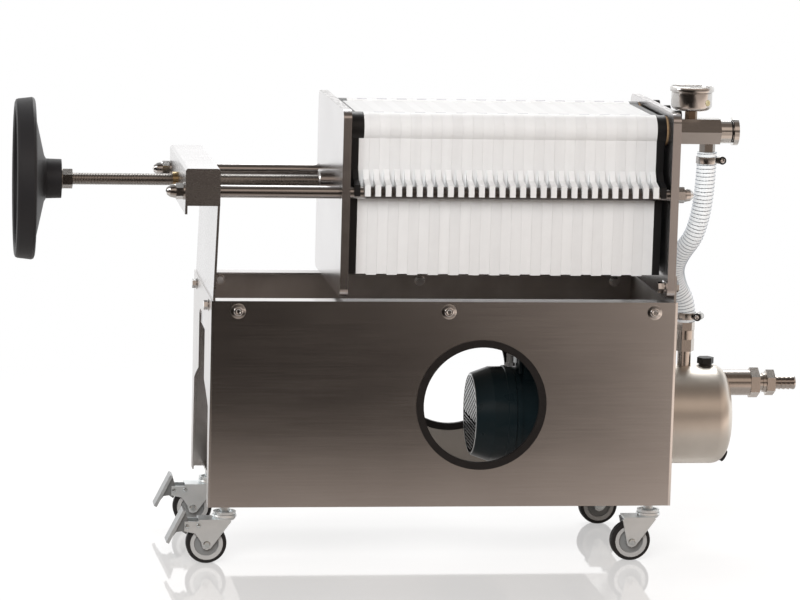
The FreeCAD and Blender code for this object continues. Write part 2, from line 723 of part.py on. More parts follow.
# ---------------------------------------------------------------- manifold and hose

BLOCK_OUT = f"({FIXED_OUT} + block_out)"
HOSE_X = "(base_length / 2 + delivery_out)"


def manifold():
    """Hexagonal bar on the fixed head, in line with the near channel."""
    body = new_body("manifold_block", y="-boss_half", z="boss_height")
    add_hexagon(body, "YZ", "0", "0", FIXED_OUT, "block_out", "block_flats")
    bore = new_sketch(body, "YZ", f"{FIXED_OUT} + 20")
    draw_circle(bore, "0", "0", "11")
    pocket(body, bore, "block_out", reverse=True)
    return body


def outlet_ferrule():
    """Round stub with a clamp flange at the manifold's end."""
    body = new_body("outlet_ferrule", y="-boss_half", z="boss_height")
    start = BLOCK_OUT
    face = new_sketch(body, "XY")
    draw_outline(face, [(start, "11"), (start, "15.5"), (f"{start} + 14", "15.5"),
                        (f"{start} + 14", "13.5"), (f"{start} + 17", "13.5"), (f"{start} + 17", "18"),
                        (f"{start} + 23.5", "18"), (f"{start} + 23.5", "11")])
    revolve(body, face, "H_Axis")
    return body


def pressure_gauge():
    """Dial gauge lying face up on its neck."""
    body = new_body("pressure_gauge", x=f"{FIXED_OUT} + 23", y="-boss_half", z="boss_height + block_flats / 2")
    profile = new_sketch(body, "XZ")
    draw_outline(profile, [
        ("0", "11"), ("gauge_radius - 6", "11"), ("gauge_radius - 1.2", "13"), ("gauge_radius", "16"),
        ("gauge_radius", "34"), ("gauge_radius + 1.7", "35.5"), ("gauge_radius + 1.7", "41"),
        ("gauge_radius", "42"), ("gauge_radius - 2", "41.2"), ("gauge_radius - 3", "39.5"),
        ("0", "39.5")])
    revolve(body, profile, "V_Axis")
    return body


def gauge_neck():
    body = new_body("gauge_neck", x=f"{FIXED_OUT} + 23", y="-boss_half", z="boss_height + block_flats / 2")
    add_hexagon(body, "XY", "0", "0", "0", "11", "14")
    return body


def hose_adaptor():
    body = new_body("hose_adaptor", x=HOSE_X, y="-boss_half", z="boss_height - block_flats / 2")
    add_hexagon(body, "XY", "0", "0", "-11", "11", "18")
    return body


def hose_clamps():
    """Band clamps on both ends of the hose, each with its screw housing."""
    body = new_body("hose_clamps", x=HOSE_X)
    top = "boss_height - block_flats / 2 - 26"
    foot = "pump_height + pump_radius + 61"
    for across, level in (("-boss_half", top), ("0", foot)):
        band = new_sketch(body, "XY", level)
        draw_circle(band, "0", across, "hose_radius + 1.2")
        draw_circle(band, "0", across, "hose_radius + 0.02")
        pad(body, band, "10")
        housing = new_sketch(body, "XY", f"{level} + 1")
        draw_box(housing, "hose_radius + 0.8", f"{across} - 7", "hose_radius + 11", f"{across} + 7")
        pad(body, housing, "8")
    return body


def hose():
    """Delivery hose on its real route: straight runs joined by tangent arcs."""
    x = amount(f"{MIDDLE} + {HOSE_X}")
    side = amount("-boss_half")
    top = amount("floor_gap + boss_height - block_flats / 2 - 11")
    foot = amount("floor_gap + pump_height + pump_radius + 58")
    drop = top - foot
    route = [
        (x, side, top), (x, side, top - 0.4 * drop), (x - 27, 0.38 * side, top - 0.64 * drop),
        (x - 16, 0.07 * side, top - 0.79 * drop), (x, 0, foot + 26), (x, 0, foot),
    ]
    route = [FreeCAD.Vector(*point) for point in route]
    edges = []
    here = route[0]
    for before, corner, after in zip(route, route[1:], route[2:]):
        run_in = corner - before
        run_out = after - corner
        turn = run_in.getAngle(run_out)
        cut = 0.45 * min(run_in.Length, run_out.Length)
        radius = cut / math.tan(turn / 2)
        start = corner - run_in.normalize() * cut
        end = corner + run_out.normalize() * cut
        bisector = (end - corner) + (start - corner)
        reach = math.hypot(radius, cut) - radius
        middle = corner + bisector.normalize() * reach
        edges.append(Part.LineSegment(here, start).toShape())
        edges.append(Part.Arc(start, middle, end).toShape())
        here = end
        print("hose arc radius", round(radius, 1))
    edges.append(Part.LineSegment(here, route[-1]).toShape())
    path = Part.Wire(edges)
    ring = Part.Wire(Part.makeCircle(amount("hose_radius"), route[0], FreeCAD.Vector(0, 0, -1)))
    tube = path.makePipeShell([ring], True, False)
    expected = math.pi * amount("hose_radius") ** 2 * path.Length
    print("hose length", round(path.Length, 1), "volume ratio", round(tube.Volume / expected, 4))
    feature = doc.addObject("Part::Feature", "delivery_hose")
    feature.Label = "delivery_hose"
    feature.Shape = tube
    nodes.append(feature)
    return feature


# ---------------------------------------------------------------- casters

CASTERS = {"left_front": (-1, -1), "left_back": (-1, 1), "right_front": (1, -1), "right_back": (1, 1)}


def caster_mounts():
    """Fixed upper races of the four swivel casters, open on top round the bolt's collar."""
    body = new_body("caster_mounts")
    collars = new_sketch(body, "XY", "-12.5")
    floors = new_sketch(body, "XY", "-12.5")
    rims = new_sketch(body, "XY", "-12.5")
    for end, side in CASTERS.values():
        across, up = f"{end} * caster_half", f"{side} * caster_spread"
        draw_circle(collars, across, up, "6.5")
        draw_circle(floors, across, up, "14.5")
        draw_circle(rims, across, up, "14.5")
        draw_circle(rims, across, up, "11.5")
    pad(body, collars, "12.5")
    pad(body, floors, "1.2")
    pad(body, rims, "3.2")
    return body


def caster_fork(name, end, side, braked):
    """Pressed fork: lower race, crown and two cheeks that carry the axle."""
    body = new_body(f"caster_{name}_fork", x=f"{end} * caster_half", y=f"{side} * caster_spread")
    race = new_sketch(body, "XZ")
    draw_outline(race, [("0", "-13"), ("15", "-13"), ("15.8", "-15.5"), ("12.5", "-20"), ("0", "-20")])
    revolve(body, race, "V_Axis")
    crown = new_sketch(body, "XY", "-20.5")
    reach = "-52" if braked else "-34"
    cheek_out = "(tyre_width / 2 + 2 + fork_gauge)"
    draw_box(crown, "-34", f"-{cheek_out}", "7", cheek_out)
    pad(body, crown, "fork_gauge")
    axle = "(tyre_radius - floor_gap)"
    for level in (f"-{cheek_out}", "tyre_width / 2 + 2"):
        cheek = new_sketch(body, "XZ", level)
        arm = [(reach, "-20.5"), (reach, "-33"), ("-38", "-36")] if braked else [("-36", "-20.5")]
        draw_outline(cheek, arm + [
            ("-caster_trail - 7", f"{axle} + 3"), ("-caster_trail - 5", f"{axle} - 5"),
            ("-caster_trail", f"{axle} - 7"), ("-caster_trail + 5", f"{axle} - 5"), ("8", "-20.5")])
        pad(body, cheek, "fork_gauge")
    pin = new_sketch(body, "XZ", f"-{cheek_out} - 1")
    draw_circle(pin, "-caster_trail", axle, "3")
    pad(body, pin, f"2 * {cheek_out} + 2")
    return body


def caster_wheel(name, end, side):
    """Wheel with a solid tyre, turning on the fork's axle."""
    body = new_body(f"caster_{name}_wheel", x=f"{end} * caster_half - caster_trail",
                    y=f"{side} * caster_spread", z="tyre_radius - floor_gap")
    profile = new_sketch(body, "XY")
    near = [("3 + turn_gap", "0"), ("7", "0"), ("8", "3"), ("15", "3"), ("16", "0.4"),
            ("tyre_radius - 5.4", "0.4"), ("tyre_radius - 5", "0"), ("tyre_radius - 1.2", "1.2"),
            ("tyre_radius", "4.5")]
    draw_outline(profile, [(across, f"{depth} - tyre_width / 2") for across, depth in near]
                 + [(across, f"tyre_width / 2 - {depth}") for across, depth in reversed(near)])
    revolve(body, profile, "V_Axis")
    return body


def brake_pedal(name, end, side):
    """Brake lever between the fork's arms, with its tread plate outside."""
    body = new_body(f"caster_{name}_pedal", x=f"{end} * caster_half", y=f"{side} * caster_spread")
    web = new_sketch(body, "XZ")
    draw_outline(web, [("-46", "-23"), ("-46", "-31"), ("-49", "-38"), ("-55", "-34"),
                       ("-62", "-35"), ("-71", "-47"), ("-74", "-45"), ("-53", "-8"), ("-50", "-9.5")])
    pad(body, web, "18", middle=True)
    tread = new_sketch(body, "XZ")
    draw_outline(tread, [("-71.4", "-49"), ("-75", "-47.2"), ("-54", "-5.5"), ("-50.4", "-7.3")])
    pad(body, tread, "28", middle=True)
    return body


def build():
    side_panel("front_panel", -1)
    side_panel("back_panel", 1)
    end_panel("left_end_panel", -1)
    end_panel("right_end_panel", 1)
    cross_rails()
    drip_tray()
    window_trims()
    portal()
    beam_caps()
    screw_nut()
    guide_bar("guide_bar_front", -1)
    guide_bar("guide_bar_back", 1)
    bar_nuts("bar_nuts_left", BEAM_LEFT, -1)
    bar_nuts("bar_nuts_right", FIXED_OUT, 1)
    head_plate("fixed_head", FIXED_IN, "bar_stud + 0.1")
    head_support()
    cap_nuts()
    gaskets("fixed_gaskets", f"({RIGHT_END_OUT} + seat_boss)", "gasket_gauge - seat_boss")
    first_plate()
    filter_plates("filter_plates_a", 2, "plate_low")
    filter_plates("filter_plates_b", 1, "plate_low - scallop_drop")
    end_plates()
    head_plate("moving_head", MOVING_OUT, "bar_radius + head_gap")
    gaskets("moving_gaskets", MOVING_IN, "gasket_gauge")
    screw_block()
    pressure_screw()
    handwheel()
    pump_body()
    pump_plugs()
    pump_inlet()
    pump_outlet()
    motor()
    cable_gland()
    motor_shelf()
    fan_cover()
    manifold()
    outlet_ferrule()
    pressure_gauge()
    gauge_neck()
    hose_adaptor()
    hose_clamps()
    hose()
    caster_mounts()
    for name, (end, side) in CASTERS.items():
        braked = end < 0
        caster_fork(name, end, side, braked)
        caster_wheel(name, end, side)
        if braked:
            brake_pedal(name, end, side)


def check_and_export():
    doc.recompute()
    failed = [item.Name for item in doc.Objects if "Invalid" in item.State or "Error" in item.State]
    if failed:
        raise RuntimeError(f"objects failed: {failed}")
    for node in nodes:
        if node.Shape.isNull() or not node.Shape.isValid() or not node.Shape.Solids:
            raise RuntimeError(f"bad shape: {node.Label}")
    os.makedirs("parts", exist_ok=True)
    for node in nodes:
        node.Shape.exportStep(f"parts/{node.Label}.step")
    print(len(nodes), "nodes written")


build()
check_and_export()
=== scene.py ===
import math
import bmesh
import bpy
from mathutils import Matrix, Vector


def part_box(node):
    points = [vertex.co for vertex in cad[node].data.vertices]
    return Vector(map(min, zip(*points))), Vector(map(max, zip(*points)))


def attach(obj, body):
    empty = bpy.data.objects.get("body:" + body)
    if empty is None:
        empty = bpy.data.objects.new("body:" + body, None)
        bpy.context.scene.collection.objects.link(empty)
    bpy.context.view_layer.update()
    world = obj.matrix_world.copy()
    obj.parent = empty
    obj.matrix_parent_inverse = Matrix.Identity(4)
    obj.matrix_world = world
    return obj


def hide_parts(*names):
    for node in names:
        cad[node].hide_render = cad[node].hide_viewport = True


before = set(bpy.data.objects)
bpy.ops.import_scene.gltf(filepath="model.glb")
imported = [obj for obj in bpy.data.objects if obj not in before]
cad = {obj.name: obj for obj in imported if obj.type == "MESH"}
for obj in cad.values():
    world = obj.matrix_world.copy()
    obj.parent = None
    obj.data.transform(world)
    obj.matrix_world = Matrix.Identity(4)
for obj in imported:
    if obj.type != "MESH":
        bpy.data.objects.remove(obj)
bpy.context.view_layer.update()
bpy.ops.object.select_all(action="DESELECT")

# ---- Studio: white acrylic floor, soft lamps and the camera
# The press stands on a white sheet that runs out to nothing. One wide soft lamp stands high
# in front, and weaker ones behind and at the left; the room in front of the press is grey.


class Tone:
    """A value over a surface, held as a shader socket. Python's operators add Math nodes."""

    def __init__(self, finish, socket):
        self.finish = finish
        self.socket = socket

    def math(self, operation, first, second=0.0):
        return self.finish.node("ShaderNodeMath", {"operation": operation}, {0: first, 1: second})

    def __add__(self, other):
        return self.math("ADD", self, other)

    def __radd__(self, other):
        return self.math("ADD", other, self)

    def __sub__(self, other):
        return self.math("SUBTRACT", self, other)

    def __rsub__(self, other):
        return self.math("SUBTRACT", other, self)

    def __mul__(self, other):
        return self.math("MULTIPLY", self, other)

    def __rmul__(self, other):
        return self.math("MULTIPLY", other, self)

    def __truediv__(self, other):
        return self.math("DIVIDE", self, other)

    def __pow__(self, other):
        return self.math("POWER", self, other)

    def __gt__(self, other):
        return self.math("GREATER_THAN", self, other)

    def __lt__(self, other):
        return self.math("LESS_THAN", self, other)

    def __abs__(self):
        return self.math("ABSOLUTE", self)

    def sin(self):
        return self.math("SINE", self)

    def fraction(self):
        return self.math("FRACT", self)

    def step(self, low, high):
        """0 below low, 1 above high and smooth between."""
        return self.finish.node("ShaderNodeMapRange", {"interpolation_type": "SMOOTHSTEP"},
                                {"Value": self, "From Min": low, "From Max": high})


class Finish:
    """One material or world. node() adds every node that isn't plain maths."""

    def __init__(self, name, owner=None):
        self.owner = owner or bpy.data.materials.new(name)
        self.owner.use_nodes = True
        self.tree = self.owner.node_tree
        self.shader = self.tree.nodes.get("Principled BSDF")
        self.place = self.node("ShaderNodeTexCoord", out="Object")

    def node(self, kind, settings=None, values=None, out=0):
        node = self.tree.nodes.new(kind)
        for name, setting in (settings or {}).items():
            if name != "stops":
                setattr(node, name, setting)
                continue
            while len(node.color_ramp.elements) < len(setting):
                node.color_ramp.elements.new(0.5)
            for element, (position, colour) in zip(node.color_ramp.elements, setting):
                element.position = position
                element.color = (*colour, 1)
        for name, value in (values or {}).items():
            self.feed(node.inputs[name], value)
        return Tone(self, node.outputs[out])

    def feed(self, socket, value):
        if isinstance(value, Tone):
            self.tree.links.new(value.socket, socket)
        elif socket.type == "RGBA" and len(value) == 3:
            socket.default_value = (*value, 1)
        else:
            socket.default_value = value

    def set(self, **looks):
        for name, value in looks.items():
            self.feed(self.shader.inputs[name.replace("_", " ")], value)

    def axis(self, name):
        return self.node("ShaderNodeSeparateXYZ", None, {0: self.place}, out=name)

    def stretched(self, x, y, z):
        return self.node("ShaderNodeMapping", None, {"Vector": self.place, "Scale": (x, y, z)})

    def noise(self, scale, detail=3.0, over=None):
        return self.node("ShaderNodeTexNoise", None,
                         {"Vector": over or self.place, "Scale": scale, "Detail": detail},
                         out="Fac")

    def between(self, factor, first, second):
        """A colour from first to second as factor goes from 0 to 1."""
        return self.node("ShaderNodeMix", {"data_type": "RGBA"},
                         {0: factor, 6: first, 7: second}, out=2)

    def bump(self, height, distance, strength=1.0):
        return self.node("ShaderNodeBump", None,
                         {"Height": height, "Distance": distance, "Strength": strength})


bpy.ops.mesh.primitive_circle_add(vertices=96, radius=14, fill_type="NGON")
floor = bpy.context.object
floor.name = "floor"
sheet = Finish("white_acrylic")
distance = sheet.node("ShaderNodeVectorMath", {"operation": "LENGTH"}, {0: sheet.place},
                      out="Value")
streaks = sheet.noise(1.0, 4.0, sheet.stretched(2, 9, 1))
sheet.set(Base_Color=sheet.between(streaks, (0.40, 0.395, 0.39), (0.46, 0.455, 0.45)),
          Roughness=0.04, Specular_IOR_Level=0.75, Emission_Strength=0.42)
seen = sheet.node("ShaderNodeLightPath", out="Is Camera Ray")
sheet.set(Emission_Color=sheet.between(seen, (0.25, 0.22, 0.2), (1, 1, 1)))
along, away = sheet.axis("X"), sheet.axis("Y")
near_side = 0.015 + 0.31 * away.step(-1.05, -0.6) + (
    0.2 * along.step(0.1, 0.65) * (0.35 + 0.65 * away.step(-2.4, -1.9))
    + 0.24 * along.step(0.46, 0.62) * away.step(-1.9, -1.3) + 0.45 * along.step(0.74, 1.0))
far_side = away.step(-0.5, 0.2)
around = near_side + far_side * (1 - near_side)
warm = sheet.between(seen + far_side, (1.0, 0.83, 0.72), (1, 1, 1))
lit = sheet.node("ShaderNodeEmission", None,
                 {"Color": warm, "Strength": seen + (1 - seen) * around})
front_edge = (1 - seen) * (1 - away.step(-0.42, -0.2))
faded = sheet.node("ShaderNodeMixShader", None,
                   {0: distance.step(0.62, 1.35) + front_edge,
                    1: Tone(sheet, sheet.shader.outputs[0]), 2: lit})
sheet.feed(sheet.tree.nodes["Material Output"].inputs["Surface"], faded)
floor.data.materials.append(sheet.owner)

world = bpy.data.worlds.new("studio")
bpy.context.scene.world = world
room = Finish("studio", world)
room.place = room.node("ShaderNodeTexCoord", out="Generated")
behind = room.axis("Y").step(-0.25, 0.25)
sideways = room.axis("X").step(-0.1, 0.6)
seen = room.node("ShaderNodeLightPath", out="Is Camera Ray")
height = room.axis("Z")
in_front = 0.05 + sideways * 0.2 + height.step(0.2, 0.34) * (1 - height.step(0.58, 0.78)) * 0.45
bright = in_front + behind * (1.12 - 0.8 * height.step(0.3, 0.65) - in_front)
warm = room.between(seen + behind, (1.0, 0.82, 0.7), (1, 1, 1))
backdrop = room.node("ShaderNodeBackground", None,
                     {"Color": warm, "Strength": seen + (1 - seen) * bright})
room.feed(room.tree.nodes["World Output"].inputs["Surface"], backdrop)

for name, place, aim, size, power in (
        ("front_lamp", (-0.9, -2.5, 1.6), (0, 0, 0.35), 2.0, 71),
        ("back_lamp", (0.5, 1.7, 2.2), (0, 0, 0.3), 1.6, 26),
        ("side_lamp", (-2.4, -0.2, 1.2), (0, 0, 0.35), 1.0, 9)):
    bpy.ops.object.light_add(type="AREA", location=place)
    lamp = bpy.context.object
    lamp.name = name
    lamp.data.shape = "DISK"
    lamp.data.size = size
    lamp.data.energy = power
    lamp.visible_glossy = name != "front_lamp"
    lamp.rotation_euler = (Vector(aim) - Vector(place)).to_track_quat("-Z", "Y").to_euler()

turn, dip, roll = math.radians(8.35), math.radians(9.06), math.radians(1.55)
ahead = Vector((math.sin(turn) * math.cos(dip), math.cos(turn) * math.cos(dip), -math.sin(dip)))
right = Vector((math.cos(turn), -math.sin(turn), 0))
above = right.cross(ahead)
right, above = (math.cos(roll) * right + math.sin(roll) * above,
                math.cos(roll) * above - math.sin(roll) * right)
bpy.ops.object.camera_add()
camera = bpy.context.object
camera.name = "camera"
camera.data.sensor_width = 36
camera.data.lens = 157.5
camera.matrix_world = Matrix.Translation((-0.6715, -4.467, 1.0435)) @ Matrix(
    (right, above, -ahead)).transposed().to_4x4()
bpy.context.scene.camera = camera
bpy.context.scene.view_settings.view_transform = "Standard"

# ---- Delivery hose: clear soft plastic over a steel wire spiral
# It is pushed over the manifold's adaptor at the top and over the pump's fitting at the foot,
# and bows sideways between the two because they aren't in line.


def give(piece, *finishes):
    """Fills the material slots of a CAD node or of a new piece."""
    piece = cad[piece] if isinstance(piece, str) else piece
    while len(piece.material_slots) < len(finishes):
        piece.data.materials.append(None)
    for place, finish in zip(piece.material_slots, finishes):
        place.material = finish.owner


def hand_over(piece, finish, body="frame", stands_for=None):
    """Gives a finished piece its look and tells the frame what it belongs to."""
    give(piece, finish)
    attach(piece, body)
    if stands_for:
        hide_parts(stands_for)


route = [(0.3665, -0.084, 0.532), (0.3665, -0.084, 0.4378), (0.3395, -0.0319, 0.3813),
         (0.3505, -0.0059, 0.346), (0.3665, 0, 0.3225), (0.3665, 0, 0.2965)]
line = bpy.data.curves.new("delivery_hose_wall", "CURVE")
line.dimensions = "3D"
spline = line.splines.new("NURBS")
spline.points.add(len(route) - 1)
for point, place in zip(spline.points, route):
    point.co = (*place, 1)
spline.order_u = 3
spline.use_endpoint_u = True
spline.resolution_u = 12
hose_radius, wire_circle, wire_radius, wire_pitch = 0.0126, 0.0125, 0.0006, 0.0049
hose = bpy.data.objects.new("delivery_hose_wall", line)
bpy.context.collection.objects.link(hose)
bpy.context.view_layer.update()
centre = bpy.data.meshes.new_from_object(hose.evaluated_get(bpy.context.evaluated_depsgraph_get()))
path = [vertex.co.copy() for vertex in centre.vertices]
line.bevel_depth = hose_radius
line.bevel_resolution = 8
# The wall glows faintly: a painted glow that stands in for light shining through the clear plastic.
clear = Finish("clear_hose_wall")
haze = clear.noise(120, 3)
clear.set(Base_Color=clear.between(haze, (0.92, 0.955, 0.965), (0.965, 0.99, 1.0)),
          Roughness=0.16 + haze * 0.08, Alpha=0.74 + haze * 0.12, IOR=1.45, Coat_Weight=0.5,
          Emission_Color=(0.86, 0.94, 1.0), Emission_Strength=0.22)

# The wire spiral is one helix that follows the hose's own line.
steps = [0.0]
for before, after in zip(path, path[1:]):
    steps.append(steps[-1] + (after - before).length)
sides = 18
count = int(steps[-1] / wire_pitch * sides)
rings = bmesh.new()
previous = None
spot = 0
for number in range(count):
    along = number / count * steps[-1]
    while steps[spot + 1] < along:
        spot += 1
    share = (along - steps[spot]) / (steps[spot + 1] - steps[spot])
    core = path[spot].lerp(path[spot + 1], share)
    forward = (path[spot + 1] - path[spot]).normalized()
    side = forward.cross(Vector((0, 1, 0))).normalized()
    out = Matrix.Rotation(number / sides * math.tau, 3, forward) @ side
    ring = [rings.verts.new(core + out * (wire_circle + wire_radius * math.cos(bearing)) +
                            forward * (wire_radius * math.sin(bearing)))
            for bearing in (0, math.tau / 4, math.tau / 2, math.tau * 3 / 4)]
    if previous:
        for corner in range(4):
            rings.faces.new((previous[corner], previous[corner - 1], ring[corner - 1],
                             ring[corner]))
    else:
        rings.faces.new(ring)
    previous = ring
rings.faces.new(reversed(previous))
bmesh.ops.recalc_face_normals(rings, faces=rings.faces)
coil = bpy.data.meshes.new("hose_wire")
rings.to_mesh(coil)
rings.free()
coil.shade_smooth()
wire = bpy.data.objects.new("hose_wire", coil)
bpy.context.collection.objects.link(wire)
spring = Finish("spring_wire")
spring.set(Base_Color=(0.34, 0.38, 0.43), Metallic=1.0, Roughness=0.25 + spring.noise(300) * 0.15)
hand_over(wire, spring)
hand_over(hose, clear, stands_for="delivery_hose")

# ---- Base: satin stainless sheets, folded at their corners
# The long sides, end sheets, rails, tray and shelf are cut from one brushed sheet. Its grain
# runs along the length, its corners are folded round, and handling has left it cloudy.


def brushed(name, dark, pale, rough, grain_scale, depth=0.000005, folds=None):
    """Steel with a fine directional grain under a slow cloudiness; folds is the x of the two
    upright corners, where the sheet turns round with a bend that shows only in its shine."""
    steel = Finish(name)
    grain = steel.noise(1.0, 2.0, steel.stretched(*grain_scale))
    cloud = steel.noise(5.0, 3.0)
    marks = steel.noise(1.0, 4.0, steel.stretched(9, 40, 40))
    tone = (cloud * 0.55 + grain * 0.25 + marks * 0.2).step(0.3, 0.7)
    height = grain
    if folds:
        middle, half = (folds[0] + folds[1]) / 2, (folds[1] - folds[0]) / 2
        bend = abs(steel.axis("X") - middle).step(half - 0.0034, half + 0.0006)
        height = grain - bend * 340
    steel.set(Base_Color=steel.between(tone, dark, pale), Metallic=1.0,
              Roughness=rough + grain * 0.06 + marks * 0.04)
    if depth:
        steel.set(Normal=steel.bump(height, depth, 0.8))
    return steel


panel_low, panel_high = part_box("front_panel")
satin = brushed("satin_sheet", (0.62, 0.60, 0.59), (0.74, 0.725, 0.715), 0.17, (14, 1500, 1500),
                folds=(panel_low[0], panel_high[0]))
give("front_panel", satin)
back_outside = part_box("back_panel")[1][1]
back_satin = brushed("satin_back_sheet", (0.62, 0.60, 0.59), (0.74, 0.725, 0.715), 0.2,
                     (14, 1500, 1500), folds=(panel_low[0], panel_high[0]))
# The inner face of the back panel carries painted shade towards its right: its colour is pulled
# most of the way to a dark brown-grey.
painted_inner_shade = 1 - back_satin.axis("Y").step(back_outside - 0.0016, back_outside - 0.001)
shiny = Tone(back_satin, back_satin.shader.inputs["Base Color"].links[0].from_socket)
painted_inner_shade = painted_inner_shade * back_satin.axis("X").step(-0.22, -0.06)
back_satin.set(Base_Color=back_satin.between(painted_inner_shade * 0.75, shiny, (0.22, 0.215, 0.195)))
give("back_panel", back_satin)
end_satin = brushed("satin_end_sheet", (0.64, 0.62, 0.61), (0.75, 0.735, 0.725), 0.24,
                    (1500, 20, 1500))
for name in ("left_end_panel", "right_end_panel", "caster_rails", "motor_shelf",
             "fixed_head_support"):
    give(name, end_satin)

# ---- Panel screws: button heads on broad washers
# Three along each long side and two at the top of the left end. Stainless, with a hexagon
# socket; they hold the tray, the portal and the head's support inside the base.


def start(kind, name, **where):
    """A primitive at its place, with nothing else selected."""
    if bpy.context.object and bpy.context.object.mode != "OBJECT":
        bpy.ops.object.mode_set(mode="OBJECT")
    bpy.ops.object.select_all(action="DESELECT")
    getattr(bpy.ops.mesh, f"primitive_{kind}_add")(**where)
    piece = bpy.context.object
    piece.name = piece.data.name = name
    return piece


def choose(piece, test, part="faces"):
    """Edit mode, with only those faces or edges selected that the test picks by place."""
    if piece.mode != "EDIT":
        bpy.ops.object.mode_set(mode="EDIT")
    bpy.ops.mesh.select_mode(type={"faces": "FACE", "edges": "EDGE"}[part])
    bpy.ops.mesh.select_all(action="DESELECT")
    form = bmesh.from_edit_mesh(piece.data)
    for item in getattr(form, part):
        if test(item):
            item.select_set(True)
    form.select_flush_mode()
    bmesh.update_edit_mesh(piece.data)


def soften(piece, size, segments=2, test=lambda edge: True):
    """Bevels the edges between faces that meet at more than 40 degrees."""
    choose(piece, lambda edge: len(edge.link_faces) == 2 and edge.calc_face_angle() > 0.7
           and test(edge), "edges")
    bpy.ops.mesh.bevel(offset=size, segments=segments, affect="EDGES")


def settle(piece, matrix=None, smooth=35):
    """Back in object mode, turned to its place, with the place put into the mesh."""
    if piece.mode == "EDIT":
        bpy.ops.mesh.select_all(action="SELECT")
        bpy.ops.mesh.normals_make_consistent(inside=False)
        bpy.ops.object.mode_set(mode="OBJECT")
    bpy.ops.object.select_all(action="DESELECT")
    piece.select_set(True)
    bpy.context.view_layer.objects.active = piece
    bpy.ops.object.shade_smooth_by_angle(angle=math.radians(smooth))
    bpy.ops.object.transform_apply(location=True, rotation=True, scale=True)
    if matrix:
        piece.matrix_world = matrix
        bpy.ops.object.transform_apply(location=True, rotation=True, scale=True)
    return piece


def cut(piece, cutter):
    """Takes the cutter's shape out of the piece."""
    if bpy.context.object.mode == "EDIT":
        bpy.ops.object.mode_set(mode="OBJECT")
    bpy.context.view_layer.objects.active = piece
    change = piece.modifiers.new("cut", "BOOLEAN")
    change.object = cutter
    change.operation = "DIFFERENCE"
    bpy.ops.object.modifier_apply(modifier="cut")
    bpy.data.objects.remove(cutter)


def joined(name, pieces):
    """Pieces made one object."""
    if bpy.context.object and bpy.context.object.mode != "OBJECT":
        bpy.ops.object.mode_set(mode="OBJECT")
    bpy.ops.object.select_all(action="DESELECT")
    for piece in pieces:
        piece.select_set(True)
    bpy.context.view_layer.objects.active = pieces[0]
    bpy.ops.object.join()
    pieces[0].name = pieces[0].data.name = name
    return pieces[0]


def repeated(name, pattern, places):
    """One piece copied to each place, each copy with its own mesh, as one group."""
    copies = []
    for matrix in places:
        copy = pattern.copy()
        copy.data = pattern.data.copy()
        bpy.context.collection.objects.link(copy)
        copy.data.transform(matrix)
        copies.append(copy)
    bpy.data.objects.remove(pattern)
    return joined(name, copies)


def facing(direction, place=(0, 0, 0), spin=0.0):
    """The turn and place that put a piece's own upward axis along a direction."""
    aimed = Vector(direction).to_track_quat("Z", "Y").to_matrix().to_4x4()
    return Matrix.Translation(place) @ aimed @ Matrix.Rotation(spin, 4, "Z")


def flat_washer(radius, depth, vertices=32):
    washer = start("cylinder", "washer", vertices=vertices, radius=radius, depth=depth,
                   location=(0, 0, depth / 2))
    soften(washer, 0.0003)
    return settle(washer)


def button_screw():
    washer = flat_washer(0.0096, 0.0010)
    head = start("cylinder", "screw_head", vertices=24, radius=0.0060, depth=0.0020,
                 location=(0, 0, 0.0019))
    soften(head, 0.0015, 4, lambda edge: edge.verts[0].co.z > 0)
    settle(head, smooth=50)
    cut(head, settle(start("cylinder", "key", vertices=6, radius=0.0026, depth=0.003,
                           location=(0, 0, 0.0031))))
    return joined("button_screw", [washer, head])


def mottled(name, scale, detail, dark, pale, rough, spread, relief=None, **looks):
    """A finish whose colour and roughness follow one cloud. A scale of three numbers draws
    the cloud out into turning or brushing marks; relief is the bump's depth and strength."""
    finish = Finish(name)
    drawn_out = isinstance(scale, tuple)
    cloud = finish.noise(1.0 if drawn_out else scale, detail,
                         finish.stretched(*scale) if drawn_out else None)
    finish.set(Base_Color=finish.between(cloud, dark, pale), Roughness=rough + cloud * spread,
               **looks)
    if relief:
        finish.set(Normal=finish.bump(cloud, *relief))
    return finish


panel_middle = (panel_low[0] + panel_high[0]) / 2
half_depth = 0.131
screw_row = (panel_low[0] + 0.034, panel_middle + 0.003, panel_high[0] - 0.030)
screw_level = panel_high[2] - 0.013
places = [facing((0, side, 0), (across, side * half_depth, screw_level), across * 9)
          for side in (-1, 1) for across in screw_row]
screws = repeated("panel_screws", button_screw(), places)
bright = mottled("bright_fastener", 350, 4, (0.76, 0.75, 0.74), (0.90, 0.89, 0.88), 0.05, 0.12,
                 (0.00003, 0.5), Metallic=1.0)
hand_over(screws, bright)


def hexagon_bolt(flats=0.0105, height=0.0048, washer=0.0075):
    """A hexagon head with a turned top, on a plain washer."""
    ring = flat_washer(washer, 0.0013)
    head = start("cylinder", "head", vertices=6, radius=flats / 2 / math.cos(math.pi / 6),
                 depth=height, location=(0, 0, 0.0013 + height / 2))
    choose(head, lambda face: face.normal.z > 0.9)
    bpy.ops.mesh.inset(thickness=flats * 0.09)
    bpy.ops.transform.translate(value=(0, 0, flats * 0.05))
    settle(head, smooth=20)
    return joined("hexagon_bolt", [ring, head])


end_low, end_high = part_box("left_end_panel")
support_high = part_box("fixed_head_support")[1]
tray_low, tray_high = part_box("drip_tray")
bolt_level = end_high[2] - 0.012
places = [facing((-1, 0, 0), (end_low[0], side * 0.088, bolt_level), 0.3) for side in (-1, 1)]
places += [facing((1, 0, 0), (panel_high[0], side * 0.088, bolt_level), 0.2) for side in (-1, 1)]
places += [facing((0, -1, 0), (across, tray_high[1] - 0.002, tray_high[2] - 0.010), 0.5)
           for across in screw_row]
bolts = repeated("base_bolts", hexagon_bolt(), places)
hand_over(bolts, bright)

